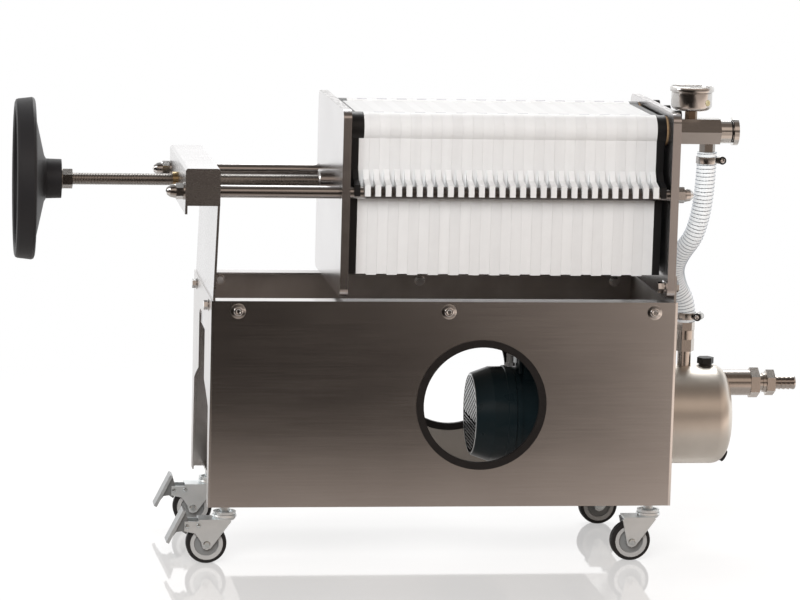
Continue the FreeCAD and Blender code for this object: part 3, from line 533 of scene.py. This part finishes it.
# ---- Window edging: black rubber channel pushed over the round windows
# One length of ribbed channel runs round each window. Its two lips grip the sheet, and the
# moulding is finely ribbed across, so that it bends round without creasing.
edging = Finish("rubber_edging")
scuffs = edging.noise(90, 4)
window_low, window_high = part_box("window_trims")
window = ((window_low[0] + window_high[0]) / 2, (window_low[2] + window_high[2]) / 2)
bearing = edging.node("ShaderNodeMath", {"operation": "ARCTAN2"},
                      {0: edging.axis("Z") - window[1], 1: edging.axis("X") - window[0]})
ribs = (bearing * 170).sin().step(-0.4, 0.6)
edging.set(Base_Color=edging.between(scuffs, (0.009, 0.0078, 0.0076), (0.02, 0.0175, 0.0165)),
           Roughness=0.5 + scuffs * 0.25, Specular_IOR_Level=0.25,
           Normal=edging.bump(ribs * 0.6 + scuffs * 0.4, 0.00025, 0.7))
give("window_trims", edging)

# ---- Drip tray: folded steel pan
# Shallow stainless pan under the plates. It lies in the dark under the rim, and dried drips
# have left its floor duller than the sheets outside.
pan = Finish("tray_steel")
dried = pan.noise(14, 5)
fine = pan.noise(1.0, 2.0, pan.stretched(16, 900, 900))
pan.set(Base_Color=pan.between(dried.step(0.35, 0.7), (0.52, 0.49, 0.47), (0.66, 0.63, 0.61)),
        Metallic=1.0, Roughness=0.36 + dried * 0.16 + fine * 0.05,
        Normal=pan.bump(fine, 0.00004, 0.5))
give("drip_tray", pan)

# ---- Portal: one folded sheet that carries the bars and the screw
# Satin stainless, 3 mm, folded over at the top into the cross beam. Two capped ends are
# welded in and ground flush, so that only a fine line shows round them.
portal = brushed("satin_portal", (0.70, 0.69, 0.69), (0.79, 0.78, 0.78), 0.22, (1300, 25, 1300),
                 0.000002)
give("left_portal", portal)
give("beam_end_caps", portal)
foot_bolts = repeated("portal_bolts", hexagon_bolt(0.0125, 0.0055, 0.0095), [
    facing((1, 0, 0), (tray_low[0] + 0.002, side * across, tray_low[2] + 0.024), 0.25)
    for side in (-1, 1) for across in (0.1, 0.042)])
hand_over(foot_bolts, bright)

# ---- Guide bars and their domed nuts
# Polished stainless round bars with a turned stud at each end. The domed nuts are bright
# stainless on flat washers.
polished = Finish("polished_bar")
drawn = polished.noise(1.0, 2.0, polished.stretched(22, 900, 900))
smear = polished.noise(30, 3)
# Between the end plates, where the plates' ears hang over the bars, the bars carry painted shade:
# nearly black and a little rougher.
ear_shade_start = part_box("moving_end_plate")[1][0]
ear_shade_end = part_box("fixed_end_plate")[0][0]
painted_ear_shade = polished.axis("X").step(ear_shade_start - 0.002, ear_shade_start + 0.004) * (
    1 - polished.axis("X").step(ear_shade_end - 0.004, ear_shade_end + 0.002))
bare = polished.between(smear, (0.52, 0.50, 0.49), (0.62, 0.60, 0.59))
polished.set(Base_Color=polished.between(painted_ear_shade * (0.82 + drawn * 0.18), bare, (0.10, 0.09, 0.085)),
             Metallic=1.0, Roughness=0.10 + drawn * 0.1 + smear * 0.05 + painted_ear_shade * 0.12)
for name in ("guide_bar_front", "guide_bar_back", "screw_block"):
    give(name, polished)
dome = Finish("domed_nut_steel")
buffed = dome.noise(260, 4)
dome.set(Base_Color=(0.70, 0.68, 0.66), Metallic=1.0, Roughness=0.10 + buffed * 0.14,
         Normal=dome.bump(buffed, 0.00003, 0.4))
for name in ("bar_nuts_left", "bar_nuts_right"):
    give(name, dome)

# ---- Screw nut: turned brass bush through the cross beam
# The screw runs in it. It is pressed in from the inside and stands out a little on the
# handwheel's side.
give("screw_nut", mottled("turned_brass", (1200, 60, 60), 3, (0.50, 0.36, 0.19),
                          (0.68, 0.52, 0.30), 0.2, 0.2, (0.00004, 0.6), Metallic=1.0))

# ---- Fixed head: thick ground steel plate bolted to its support sheet
# Satin stainless plate with rounded corners. Hexagon bolts hold it to the support inside
# the base, and three ribbed black caps cover the studs along its upper edge.
head_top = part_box("fixed_head")[1][2]
plate = brushed("ground_plate", (0.66, 0.64, 0.64), (0.77, 0.755, 0.755), 0.17, (45, 12, 60), 0)
sawn = plate.axis("Z").step(head_top - 0.0006, head_top - 0.0003)
chatter = plate.noise(1.0, 3.0, plate.stretched(260, 90, 1))
ground = plate.shader.inputs["Base Color"].links[0].from_socket
plate.set(Base_Color=plate.between(sawn, Tone(plate, ground),
                                   plate.between(chatter.step(0.35, 0.65), (0.30, 0.285, 0.28),
                                                 (0.62, 0.60, 0.59))))
for name in ("fixed_head", "moving_head"):
    give(name, plate)
head_bolts = repeated("head_bolts", hexagon_bolt(0.013, 0.006, 0.0095), [
    facing((1, 0, 0), (support_high[0], side * 0.105, support_high[2] - 0.017), 0.1)
    for side in (-1, 1)])
hand_over(head_bolts, bright)
head_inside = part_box("fixed_head")[0][0]
inner_bolts = repeated("head_nuts", hexagon_bolt(0.013, 0.007, 0.0095), [
    facing((-1, 0, 0), (head_inside, side * 0.113, support_high[2] - 0.017), 0.4)
    for side in (-1, 1)])
hand_over(inner_bolts, bright)


def black_plastic(name, rough=0.36, depth=0.00012):
    plastic = Finish(name)
    pebble = plastic.noise(700, 3)
    worn = plastic.noise(25, 4)
    plastic.set(Base_Color=plastic.between(worn, (0.005, 0.005, 0.0054), (0.012, 0.012, 0.0126)),
                Roughness=rough + pebble * 0.15 + worn * 0.08,
                Normal=plastic.bump(pebble, depth, 0.5))
    return plastic


cap_plastic = black_plastic("cap_plastic")
caps_low, caps_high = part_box("fixed_head_caps")
cap = start("cylinder", "stud_cap", vertices=40, radius=0.0068, depth=0.0138,
            location=(0, 0, 0.0069))
choose(cap, lambda face: face.normal.z > 0.9)
bpy.ops.mesh.inset(thickness=0.0012)
choose(cap, lambda face: abs(face.normal.z) < 0.5 and int(
    round(math.degrees(math.atan2(face.normal.y, face.normal.x)) / 9 - 0.5)) % 2 == 0)
bpy.ops.mesh.inset(thickness=0.0002, use_individual=True)
bpy.ops.transform.resize(value=(0.93, 0.93, 1), center_override=(0, 0, 0.0069))
settle(cap, smooth=25)
caps_level = (caps_low[2] + caps_high[2]) / 2
caps = repeated("stud_caps", cap, [facing((1, 0, 0), (caps_low[0], across, caps_level))
                                   for across in (-0.066, 0, 0.066)])
hand_over(caps, cap_plastic, stands_for="fixed_head_caps")

# ---- Filter plates: moulded white plastic, hung on the bars by their ears
# Twenty-nine plates stand edge to edge. Their rims are smooth and a little translucent, the
# mould has left faint upright flow lines, and painted shade greys every second plate's top corners.
pack_low, pack_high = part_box("filter_plates_b")
two_plates = 0.02654


def plate_plastic(name, shade):
    plastic = Finish(name)
    mottle = plastic.noise(60, 3)
    flow = plastic.noise(1.0, 3.0, plastic.stretched(70, 6, 4))
    tone = (mottle * 0.35 + flow * 0.65).step(0.25, 0.75)
    dark, pale = [tuple(part * shade for part in colour)
                  for colour in ((0.78, 0.792, 0.80), (0.83, 0.843, 0.85))]
    # Every second plate carries a lilac-grey painted shade on its top front and back corners.
    upward = plastic.axis("Z").step(pack_high[2] - 0.0016, pack_high[2] - 0.0004)
    corner = abs(abs(plastic.axis("Y")) - 0.083)
    painted_corner_shade = ((plastic.axis("X") - pack_low[0]) / two_plates).fraction()
    painted_corner_shade = (abs(painted_corner_shade - 0.5) < 0.25) * upward * (corner < 0.0042)
    tinted = plastic.between(painted_corner_shade * 0.8, plastic.between(tone, dark, pale), (0.42, 0.41, 0.47))
    plastic.set(Base_Color=tinted, Roughness=0.4 + mottle * 0.14,
                Normal=plastic.bump(mottle, 0.0002, 0.25), Subsurface_Weight=0.12,
                Subsurface_Radius=(0.004, 0.004, 0.004))
    return plastic


white = plate_plastic("plate_plastic", 1.0)
# Every second plate is a little darker than the others.
off_white = plate_plastic("plate_plastic_darker", 0.965)
give("filter_plates_a", white)
give("first_filter_plate", white)
give("filter_plates_b", off_white)

# ---- End plates and gaskets
# Black moulded plates close the pack at both heads, and flat rings of natural rubber seal
# the corner bosses to the steel.
end_plastic = black_plastic("end_plate_plastic", 0.3)
give("fixed_end_plate", end_plastic)
give("moving_end_plate", end_plastic)
rubber = mottled("natural_rubber", 160, 4, (0.33, 0.21, 0.11), (0.47, 0.32, 0.18), 0.6, 0.25,
                 (0.0001, 0.4))
give("fixed_gaskets", rubber)
give("moving_gaskets", rubber)

# ---- Pressing screw: steel spindle with a two-start thread of 4 mm lead
# Turned from bright bar, with a fine rolled thread along its whole visible length. A hexagon
# nut and a washer lock it in the handwheel's hub.
screw_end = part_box("pressure_screw")[1][0]
wheel_low, wheel_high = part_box("handwheel")
axis_level = (wheel_low[2] + wheel_high[2]) / 2
lead, crest, root = 0.004, 0.0075, 0.00706
thread_start, thread_end = wheel_low[0] + 0.008, screw_end
turns = int((thread_end - thread_start - lead) / lead)
thread = start("plane", "pressing_screw", size=0.001)
choose(thread, lambda face: True)
bpy.ops.mesh.delete(type="VERT")
bpy.ops.object.mode_set(mode="OBJECT")
ridge = ((0, root), (0.0006, crest), (0.0013, crest), (0.0019, root))
outline = [(begin + along, out) for begin in (0, lead / 2) for along, out in ridge]
outline.append((lead, root))
thread.data.from_pydata([(along, 0, out) for along, out in outline],
                        [(step, step + 1) for step in range(len(outline) - 1)], [])
twist = thread.modifiers.new("thread", "SCREW")
twist.axis = "X"
twist.steps = twist.render_steps = 20
twist.screw_offset = lead
twist.iterations = turns
twist.use_merge_vertices = True
twist.merge_threshold = 0.00001
bpy.ops.object.modifier_apply(modifier="thread")
settle(thread, Matrix.Translation((thread_start, 0, axis_level)), smooth=50)
choose(thread, lambda edge: len(edge.link_faces) == 1, "edges")
bpy.ops.mesh.edge_face_add()
settle(thread, smooth=50)
spindle = mottled("threaded_spindle", 60, 4, (0.30, 0.285, 0.27), (0.46, 0.435, 0.41), 0.18,
                  0.18, Metallic=1.0)
hand_over(thread, spindle, "screw", "pressure_screw")
lock_nut = start("cylinder", "lock_nut", vertices=6, radius=0.0127, depth=0.0125,
                 location=(0, 0, 0.00775))
for top in (1, -1):
    choose(lock_nut, lambda face: face.normal.z * top > 0.9)
    bpy.ops.mesh.inset(thickness=0.0012)
    bpy.ops.transform.translate(value=(0, 0, 0.0006 * top))
settle(lock_nut, smooth=20)
lock_nut = joined("screw_lock_nut", [lock_nut, flat_washer(0.0135, 0.0015, 40)])
lock_nut.data.transform(facing((1, 0, 0), (wheel_high[0], 0, axis_level)))
hand_over(lock_nut, spindle, "screw")

# ---- Handwheel: heavy black moulded wheel
# One phenolic moulding with a rounded rim, a dished web and a long hub. The rim has a satin
# grain and is polished a little where hands hold it.
wheel_plastic = Finish("handwheel_moulding")
pebble = wheel_plastic.noise(480, 3)
worn = wheel_plastic.noise(12, 4)
wheel_plastic.set(Base_Color=wheel_plastic.between(worn, (0.015, 0.0146, 0.0155),
                                                   (0.026, 0.0252, 0.027)),
                  Roughness=0.42 + pebble * 0.16 - worn * 0.06, Specular_IOR_Level=0.3,
                  Normal=wheel_plastic.bump(pebble, 0.0002, 0.5))
give("handwheel", wheel_plastic)

# ---- Pump: polished drawn drum with its cap and drain plug
# Deep-drawn stainless casing, its front edge turned over a wide radius. The cap on top and the
# drain plug are ribbed black plastic, each on a rubber ring.
drum = Finish("drawn_drum")
swirl = drum.noise(6, 4)
spun = drum.noise(1.0, 2.0, drum.stretched(600, 40, 40))
dulled = drum.noise(22, 5)
drum.set(Base_Color=drum.between((swirl * 0.6 + dulled * 0.4).step(0.3, 0.7), (0.78, 0.73, 0.66),
                                 (0.91, 0.86, 0.79)),
         Metallic=1.0, Roughness=0.31 + spun * 0.04 + dulled * 0.08,
         Normal=drum.bump(spun, 0.000003, 0.3))
give("pump_body", drum)
fitting = mottled("fitting_steel", (900, 120, 120), 3, (0.52, 0.47, 0.43), (0.66, 0.61, 0.56),
                  0.13, 0.12, (0.00003, 0.5), Metallic=1.0)
for name in ("pump_inlet", "pump_outlet"):
    give(name, fitting)
give("outlet_ferrule", mottled("buffed_ferrule", (700, 90, 90), 3, (0.74, 0.72, 0.69),
                               (0.88, 0.865, 0.84), 0.07, 0.1, Metallic=1.0))
give("hose_adaptor", mottled("dull_adaptor", 130, 4, (0.26, 0.235, 0.215), (0.42, 0.39, 0.36),
                             0.2, 0.2, Metallic=1.0))
give("pump_cap", cap_plastic)
give("pump_drain", cap_plastic)

# ---- Motor: painted drum with a ribbed fan cover
# The drum, terminal box and fan cover are finished in dark blue-grey enamel. The cover's end is
# a stamped guard with sloping bars in its upper half and small round studs below.
enamel = Finish("motor_enamel")
dust = enamel.noise(30, 2)
orange_peel = enamel.noise(420, 2)
enamel.set(Base_Color=enamel.between(dust, (0.006, 0.011, 0.013), (0.009, 0.016, 0.019)),
           Roughness=0.24 + dust * 0.1, Specular_IOR_Level=0.2, Coat_Weight=0.03 + dust * 0.04,
           Normal=enamel.bump(orange_peel, 0.00001, 0.3))
give("motor_body", enamel)
give("motor_fan_cover", enamel)
give("cable_gland", mottled("grey_gland_plastic", 200, 3, (0.42, 0.42, 0.42),
                            (0.56, 0.56, 0.55), 0.45, 0.2, (0.0001, 0.4)))


def turned(name, stations, vertices=48, wall=None):
    """A form turned about its own upright axis, extruded through (height, radius) stations.
    With a wall it is a ring: the stations go round its section and meet again."""
    piece = start("circle", name, vertices=vertices, radius=stations[0][1],
                  location=(0, 0, stations[0][0]), fill_type="NOTHING" if wall else "NGON")
    bpy.ops.object.mode_set(mode="EDIT")
    bpy.ops.mesh.select_all(action="SELECT")
    bpy.context.scene.tool_settings.transform_pivot_point = "MEDIAN_POINT"
    for (low, before), (high, radius) in zip(stations, stations[1:]):
        if wall:
            bpy.ops.mesh.extrude_edges_move(TRANSFORM_OT_translate={"value": (0, 0, high - low)})
        else:
            bpy.ops.mesh.extrude_region_move(TRANSFORM_OT_translate={"value": (0, 0, high - low)})
        ratio = radius / before
        bpy.ops.transform.resize(value=(ratio, ratio, 1), center_override=(0, 0, high))
    if wall:
        bpy.ops.mesh.select_all(action="SELECT")
        bpy.ops.mesh.remove_doubles(threshold=0.000002)
    return settle(piece, smooth=32)


motor_low, motor_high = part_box("motor_body")
gland_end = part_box("cable_gland")[1][0] + 0.0004
box_face = motor_low[0] + 0.004
box_end = start("cube", "terminal_box_end", size=1, scale=(box_face - gland_end, 0.056, 0.0225),
                location=((box_face + gland_end) / 2, 0, motor_high[2] - 0.01125))
soften(box_end, 0.0016, 3)
settle(box_end)
hand_over(box_end, enamel)
fan_low, fan_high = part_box("motor_fan_cover")
fan_at = Vector((fan_low[0], (fan_low[1] + fan_high[1]) / 2, (fan_low[2] + fan_high[2]) / 2))
guard_radius, bar_pitch, bar_slope = 0.0505, 0.0063, math.radians(17)
stud_gap, row_gap, first_row = 0.0086, 0.0046, -0.0082
ribs = []
for number in range(-4, 8):
    offset = number * bar_pitch
    half = math.sqrt(guard_radius ** 2 - offset ** 2)
    rib = start("cube", "rib", size=1, scale=(0.0006, 2 * half, 0.0027), location=(0, 0, offset))
    settle(rib, Matrix.Rotation(bar_slope, 4, "X"))
    ribs.append(rib)
guard = joined("fan_guard", ribs)
choose(guard, lambda face: True)
bpy.ops.mesh.select_all(action="SELECT")
bpy.ops.mesh.bisect(plane_co=(0, 0, -0.004), plane_no=(0, 0, 1), clear_inner=True, use_fill=True)
settle(guard, smooth=20)
stud = start("cylinder", "stud", vertices=8, radius=0.0016, depth=0.0006, location=(0, 0, 0))
choose(stud, lambda face: face.normal.z > 0.9)
bpy.ops.mesh.inset(thickness=0.0005)
settle(stud, smooth=50)
places = []
for row in range(10):
    for column in range(-6, 7):
        side, drop = (column + 0.5 * (row % 2)) * stud_gap, first_row - row * row_gap
        if side ** 2 + drop ** 2 < (guard_radius - 0.0025) ** 2:
            places.append(facing((-1, 0, 0), (0, side, drop)))
studs = repeated("guard_studs", stud, places)
rim = turned("guard_rim", [(0, 0.0508), (0, 0.0528), (0.0008, 0.0524), (0.0008, 0.0508),
                           (0, 0.0508)], vertices=72, wall=True)
rim.data.transform(facing((-1, 0, 0), (0.0003, 0, 0)))
guard = joined("fan_guard", [guard, studs, rim])
guard.data.transform(Matrix.Translation(fan_at - Vector((0.0003, 0, 0))))
gloss = mottled("guard_enamel", 200, 3, (0.50, 0.52, 0.53), (0.70, 0.72, 0.73), 0.16, 0.12,
                Metallic=0.6)
hand_over(guard, gloss)
# A near-black disc just in front of the cover's end, behind the bars and studs, is painted shadow
# for the dark inside of the cover.
shadow_disc = turned("guard_shadow", [(0, 0.0512), (0.0003, 0.0512)], vertices=72)
shadow_disc.data.transform(facing((-1, 0, 0), fan_at))
shadow_paint = mottled("guard_shadow_paint", 40, 3, (0.002, 0.002, 0.002), (0.006, 0.006, 0.006), 0.9, 0.0,
              Specular_IOR_Level=0.0)
hand_over(shadow_disc, shadow_paint)

# ---- Manifold: hexagon bar with the outlet stub
# A drilled length of stainless hexagon bar, screwed to the head in line with the near channel.
# The stub that is welded into its end has a groove and a flange for a clamped joint.
manifold = brushed("manifold_bar", (0.44, 0.42, 0.40), (0.56, 0.535, 0.515), 0.2, (20, 900, 900),
                   0.000002)
give("manifold_block", manifold)
ferrule_low, ferrule_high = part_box("outlet_ferrule")
block_axis = ((ferrule_low[1] + ferrule_high[1]) / 2, (ferrule_low[2] + ferrule_high[2]) / 2)
seal = turned("ferrule_seal", [(0, 0.0130), (0, 0.0146), (0.0020, 0.0146), (0.0020, 0.0130),
                               (0, 0.0130)], wall=True)
seal.data.transform(facing((1, 0, 0), (ferrule_low[0] + 0.0142, *block_axis)))
hand_over(seal, cap_plastic)

# ---- Pressure gauge: dial gauge that lies face up on a brass neck
# Polished steel case with a crimped bezel and a flat glass. The dial is white card with a
# printed scale, and a soft yellow plug in the case's side lets the pressure out if it fails.
gauge_low, gauge_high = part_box("pressure_gauge")
gauge_at = Vector(((gauge_low[0] + gauge_high[0]) / 2, (gauge_low[1] + gauge_high[1]) / 2,
                   gauge_low[2]))
dial_sweep, figure_step, figure_circle = 4.8, 55, 0.0133
stand = Matrix.Translation(gauge_at)
case = turned("gauge_case", [(0, 0.008), (0, 0.0195), (0.0012, 0.0228), (0.0034, 0.0252),
                             (0.006, 0.0262), (0.0225, 0.0262), (0.0232, 0.0254),
                             (0.0238, 0.0262), (0.0244, 0.0279), (0.0252, 0.0282),
                             (0.0292, 0.0282), (0.0304, 0.0276), (0.031, 0.0264),
                             (0.0306, 0.0252), (0.0272, 0.0247)], vertices=80)
case.data.transform(stand)
case_steel = Finish("gauge_case_steel")
prints = case_steel.noise(90, 4)
spun = case_steel.noise(1.0, 2.0, case_steel.stretched(60, 60, 1400))
case_steel.set(Base_Color=case_steel.between(prints, (0.56, 0.54, 0.52), (0.70, 0.685, 0.67)),
               Metallic=1.0, Roughness=0.13 + prints * 0.1 + spun * 0.05,
               Normal=case_steel.bump(spun, 0.00001, 0.3))
hand_over(case, case_steel, stands_for="pressure_gauge")
card = start("circle", "gauge_dial", vertices=80, radius=0.0243, fill_type="NGON",
             location=(0, 0, 0.0274))
bpy.ops.object.mode_set(mode="EDIT")
bpy.ops.mesh.select_all(action="SELECT")
bpy.ops.mesh.extrude_region_move(TRANSFORM_OT_translate={"value": (0, 0, 0.0004)})
settle(card, stand)
printed = Finish("printed_dial")
across, along = printed.axis("X") - gauge_at.x, printed.axis("Y") - gauge_at.y
reach = (across * across + along * along) ** 0.5
bearing = printed.node("ShaderNodeMath", {"operation": "ARCTAN2"}, {0: across, 1: along * -1})
sweep = abs(bearing) < dial_sweep / 2
fine_marks = (abs(((bearing * (50 / dial_sweep)) + 100.5).fraction() - 0.5) < 0.09) * (
    reach > 0.0185) * (reach < 0.0208)
main_marks = (abs(((bearing * (10 / dial_sweep)) + 100.5).fraction() - 0.5) < 0.03) * (
    reach > 0.0165) * (reach < 0.0208)
scale_ring = (reach > 0.0206) * (reach < 0.0210)
ink = (fine_marks + main_marks + scale_ring).step(0.2, 0.8) * sweep
paper = printed.noise(140, 3)
blank = printed.between(paper, (0.78, 0.78, 0.76), (0.84, 0.84, 0.82))
printed.set(Base_Color=printed.between(ink, blank, (0.02, 0.02, 0.02)),
            Roughness=0.55 + paper * 0.1)
hand_over(card, printed)
ink_black = mottled("pointer_enamel", 500, 2, (0.012, 0.012, 0.012), (0.022, 0.022, 0.022),
                    0.35, 0.1)
numbers = []
for step in range(6):
    angle = math.radians((step - 2.5) * figure_step)
    bpy.ops.object.select_all(action="DESELECT")
    bpy.ops.object.text_add()
    figure = bpy.context.object
    figure.data.body = str(step * 2)
    figure.data.size = 0.0046
    figure.data.align_x = "CENTER"
    figure.data.align_y = "CENTER"
    figure.data.extrude = 0.00004
    bpy.ops.object.convert(target="MESH")
    figure.data.transform(Matrix.Translation((figure_circle * math.sin(angle),
                                              figure_circle * math.cos(angle), 0.02788)))
    numbers.append(figure)
numbers = joined("gauge_numbers", numbers)
numbers.data.transform(stand)
hand_over(numbers, ink_black)
needle = start("cube", "gauge_needle", size=1, scale=(0.0013, 0.021, 0.0004),
               location=(0, 0.0055, 0.0284))
choose(needle, lambda face: face.normal.y > 0.9)
bpy.ops.transform.resize(value=(0.25, 1, 1), center_override=(0, 0, 0.0284))
settle(needle)
boss = start("cylinder", "needle_boss", vertices=24, radius=0.0024, depth=0.0012,
             location=(0, 0, 0.0285))
soften(boss, 0.0004)
settle(boss)
needle = joined("gauge_needle", [needle, boss])
needle.data.transform(stand @ Matrix.Rotation(math.radians(2.5 * figure_step), 4, "Z"))
hand_over(needle, ink_black)
pane = start("cylinder", "gauge_glass", vertices=80, radius=0.0249, depth=0.0008,
             location=(0, 0, 0.0301))
soften(pane, 0.0002)
settle(pane, stand)
glass = Finish("gauge_glass")
wiped = glass.noise(60, 4)
glass.set(Base_Color=(0.97, 0.98, 0.98), Roughness=0.02 + wiped * 0.04,
          Alpha=0.16 + wiped * 0.04, IOR=1.5, Coat_Weight=0.4)
hand_over(pane, glass)
plug = turned("gauge_plug", [(0, 0.0042), (0.0006, 0.0042), (0.0013, 0.0034), (0.0013, 0.0022),
                             (0.0008, 0.0018)], vertices=28)
outward = Vector((0.64, -0.77, 0))
plug.data.transform(stand @ facing(outward, outward * 0.026 + Vector((0, 0, 0.011))))
yellow = mottled("yellow_rubber", 300, 3, (0.62, 0.56, 0.32), (0.74, 0.69, 0.46), 0.4, 0.2)
hand_over(plug, yellow)
give("gauge_neck", mottled("tarnished_brass", 140, 4, (0.20, 0.145, 0.105), (0.36, 0.27, 0.19),
                           0.3, 0.2, (0.00004, 0.5), Metallic=1.0))

# ---- Hose clamps: worm-drive bands of stainless strip
# Each band is slotted where the worm bites. The worm's barrel sits across the hose in a
# pressed housing, and its slotted hexagon head looks out at the front over a black collar.


worm_reach, worm_rise, head_side = 0.0188, 0.0046, -0.0066


def worm_clamp():
    band = turned("clamp_band", [(0, 0.01302), (0, 0.01375), (0.0003, 0.0139), (0.0087, 0.0139),
                                 (0.009, 0.01375), (0.009, 0.01302), (0, 0.01302)], wall=True)
    housing = start("cube", "housing", size=1, scale=(0.0052, 0.0125, 0.0088),
                    location=(0.0158, 0, 0.0045))
    soften(housing, 0.0012, 3)
    settle(housing)
    barrel = turned("barrel", [(-0.0072, 0.0030), (-0.0072, 0.0043), (-0.0064, 0.0047),
                               (0.0055, 0.0047), (0.0065, 0.0041), (0.0065, 0.0033)], vertices=32)
    barrel.data.transform(facing((0, -1, 0), (worm_reach, 0, worm_rise)))
    tail = start("cube", "tail", size=1, scale=(0.0008, 0.0135, 0.0086),
                 location=(0.0146, 0.0105, 0.0045))
    soften(tail, 0.0002)
    settle(tail)
    return joined("hose_clamp", [band, housing, barrel, tail])


def worm_head():
    head = start("cylinder", "worm_head", vertices=6, radius=0.0032, depth=0.0036,
                 location=(0, 0, 0.0018))
    choose(head, lambda face: face.normal.z > 0.9)
    bpy.ops.mesh.inset(thickness=0.0005)
    bpy.ops.transform.translate(value=(0, 0, 0.0004))
    settle(head, smooth=20)
    cut(head, settle(start("cube", "slot", size=1, scale=(0.0009, 0.009, 0.0016),
                           location=(0, 0, 0.0039))))
    head.data.transform(facing((0, -1, 0), (worm_reach, head_side, worm_rise), 0.5))
    return head


def worm_collar():
    collar = turned("worm_collar", [(0, 0.0034), (0, 0.0048), (0.0004, 0.0052), (0.0019, 0.0052),
                                    (0.0023, 0.0048), (0.0023, 0.0034), (0, 0.0034)],
                    vertices=32, wall=True)
    collar.data.transform(facing((0, -1, 0), (worm_reach, head_side, worm_rise)))
    return collar


band_low, band_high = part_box("hose_clamps")
seats = [Matrix.Translation((*end[:2], level)) @ Matrix.Rotation(swing, 4, "Z")
         for end, level, swing in ((route[0], band_high[2] - 0.0098, 0.0),
                                   (route[-1], band_low[2] + 0.0006, -0.55))]
clamps = repeated("worm_clamps", worm_clamp(), seats)
hand_over(repeated("worm_heads", worm_head(), seats), bright)
hand_over(repeated("worm_collars", worm_collar(), seats), cap_plastic)
strip = Finish("clamp_strip")
tumbled = strip.noise(260, 4)
slots = (strip.axis("Y") * 900).sin().step(0.1, 0.6)
strip.set(Base_Color=strip.between(tumbled * 0.6 + slots * 0.4, (0.40, 0.385, 0.37),
                                   (0.66, 0.65, 0.63)),
          Metallic=1.0, Roughness=0.14 + tumbled * 0.16,
          Normal=strip.bump(slots + tumbled * 0.3, 0.0001, 0.5))
hand_over(clamps, strip, stands_for="hose_clamps")

# ---- Casters
# Pressed zinc-plated forks turn on ball races under the rails, and carry grey plastic wheels
# with solid black tyres. The two forks at the left have a brake pedal with a broad tread.
zinc = Finish("bright_zinc")
plating = zinc.noise(45, 4)
spangle = zinc.noise(9, 3)
zinc.set(Base_Color=zinc.between((plating * 0.5 + spangle * 0.5).step(0.3, 0.7), (0.80, 0.84, 0.85),
                                 (0.92, 0.95, 0.96)),
         Metallic=0.82, Roughness=0.24 + plating * 0.16, Normal=zinc.bump(plating, 0.00004, 0.4))
give("caster_mounts", zinc)
corners = ("left_front", "left_back", "right_front", "right_back")
for corner in corners:
    give(f"caster_{corner}_fork", zinc)
    wheel_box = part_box(f"caster_{corner}_wheel")
    hub = [(low + high) / 2 for low, high in zip(*wheel_box)]
    tread = (wheel_box[1][2] - wheel_box[0][2]) / 2
    tyre = Finish(f"caster_{corner}_tyre")
    across, upward = tyre.axis("X") - hub[0], tyre.axis("Z") - hub[2]
    radius = (across * across + upward * upward) ** 0.5
    rubber_part = radius.step(tread - 0.0053, tread - 0.0050)
    # The grey centre inside the light ring is painted darker: painted shade in the wheel's recess.
    beyond_painted_recess_shade = radius.step(0.0152, 0.0158)
    grit = tyre.noise(300, 3)
    grey_part = tyre.between(beyond_painted_recess_shade, (0.22, 0.225, 0.225), (0.44, 0.44, 0.435))
    tyre.set(Base_Color=tyre.between(rubber_part, grey_part, (0.014, 0.013, 0.013)),
             Roughness=0.42 + grit * 0.16 + rubber_part * 0.15, Normal=tyre.bump(grit, 0.0001, 0.4))
    give(f"caster_{corner}_wheel", tyre)
for corner in corners[:2]:
    pedal_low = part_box(f"caster_{corner}_pedal")[0]
    lever = Finish(f"caster_{corner}_lever")
    slope = Vector((math.cos(math.radians(26)), 0, -math.sin(math.radians(26))))
    # The tread is 4.2 mm thick, and what lies behind it is the web.
    behind_tread = (lever.axis("X") - pedal_low[0]) * slope.x + (
        lever.axis("Z") - pedal_low[2]) * slope.z - 0.0042
    web = behind_tread.step(-0.0004, 0.0004)
    grain = lever.noise(160, 3)
    light = lever.between(grain, (0.40, 0.415, 0.42), (0.52, 0.535, 0.54))
    lever.set(Base_Color=lever.between(web, light, (0.24, 0.245, 0.245)), Metallic=0.5,
              Roughness=0.34 + grain * 0.2, Normal=lever.bump(grain, 0.00008, 0.4))
    give(f"caster_{corner}_pedal", lever)

# ---- Caster screws, pins and axle nuts
# A plated hexagon bolt and nut hold each axle, and two headed pins cross the arms of the
# braked forks. One bolt through the middle of each swivel race holds its fork.
plated = mottled("plated_fastener", 320, 3, (0.70, 0.76, 0.78), (0.86, 0.92, 0.94), 0.08, 0.14,
                 Metallic=1.0)
trail, nut_seat, pin_seat = 0.023, 0.0136, 0.0139
for corner in corners:
    fork_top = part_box(f"caster_{corner}_fork")[1][2]
    wheel_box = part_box(f"caster_{corner}_wheel")
    hub = [(low + high) / 2 for low, high in zip(*wheel_box)]
    kingpin = hub[0] + trail
    places = [facing((0, side, 0), (hub[0], hub[1] + side * nut_seat, hub[2]), 0.35)
              for side in (-1, 1)]
    nuts = repeated(f"{corner}_axle_nuts", hexagon_bolt(0.0072, 0.0026, 0.0049), places)
    hand_over(nuts, plated, f"{corner}_swivel")
    if corner.startswith("left"):
        pin = turned("pin", [(0, 0.0031), (0.0006, 0.0031), (0.0018, 0.0023), (0.0022, 0.0011)],
                     vertices=24)
        places = [facing((0, side, 0), (kingpin + x, hub[1] + side * pin_seat, fork_top + z))
                  for side in (-1, 1) for x, z in ((-0.0485, -0.0135), (-0.0335, -0.0125))]
        pins = repeated(f"{corner}_pins", pin, places)
        hand_over(pins, plated, f"{corner}_swivel")
    bolt = hexagon_bolt(0.0080, 0.0030, 0.0056)
    bolt.name = bolt.data.name = f"{corner}_race_bolt"
    bolt.data.transform(facing((0, 0, -1), (kingpin, hub[1], fork_top - 0.0098)))
    hand_over(bolt, plated, f"{corner}_swivel")
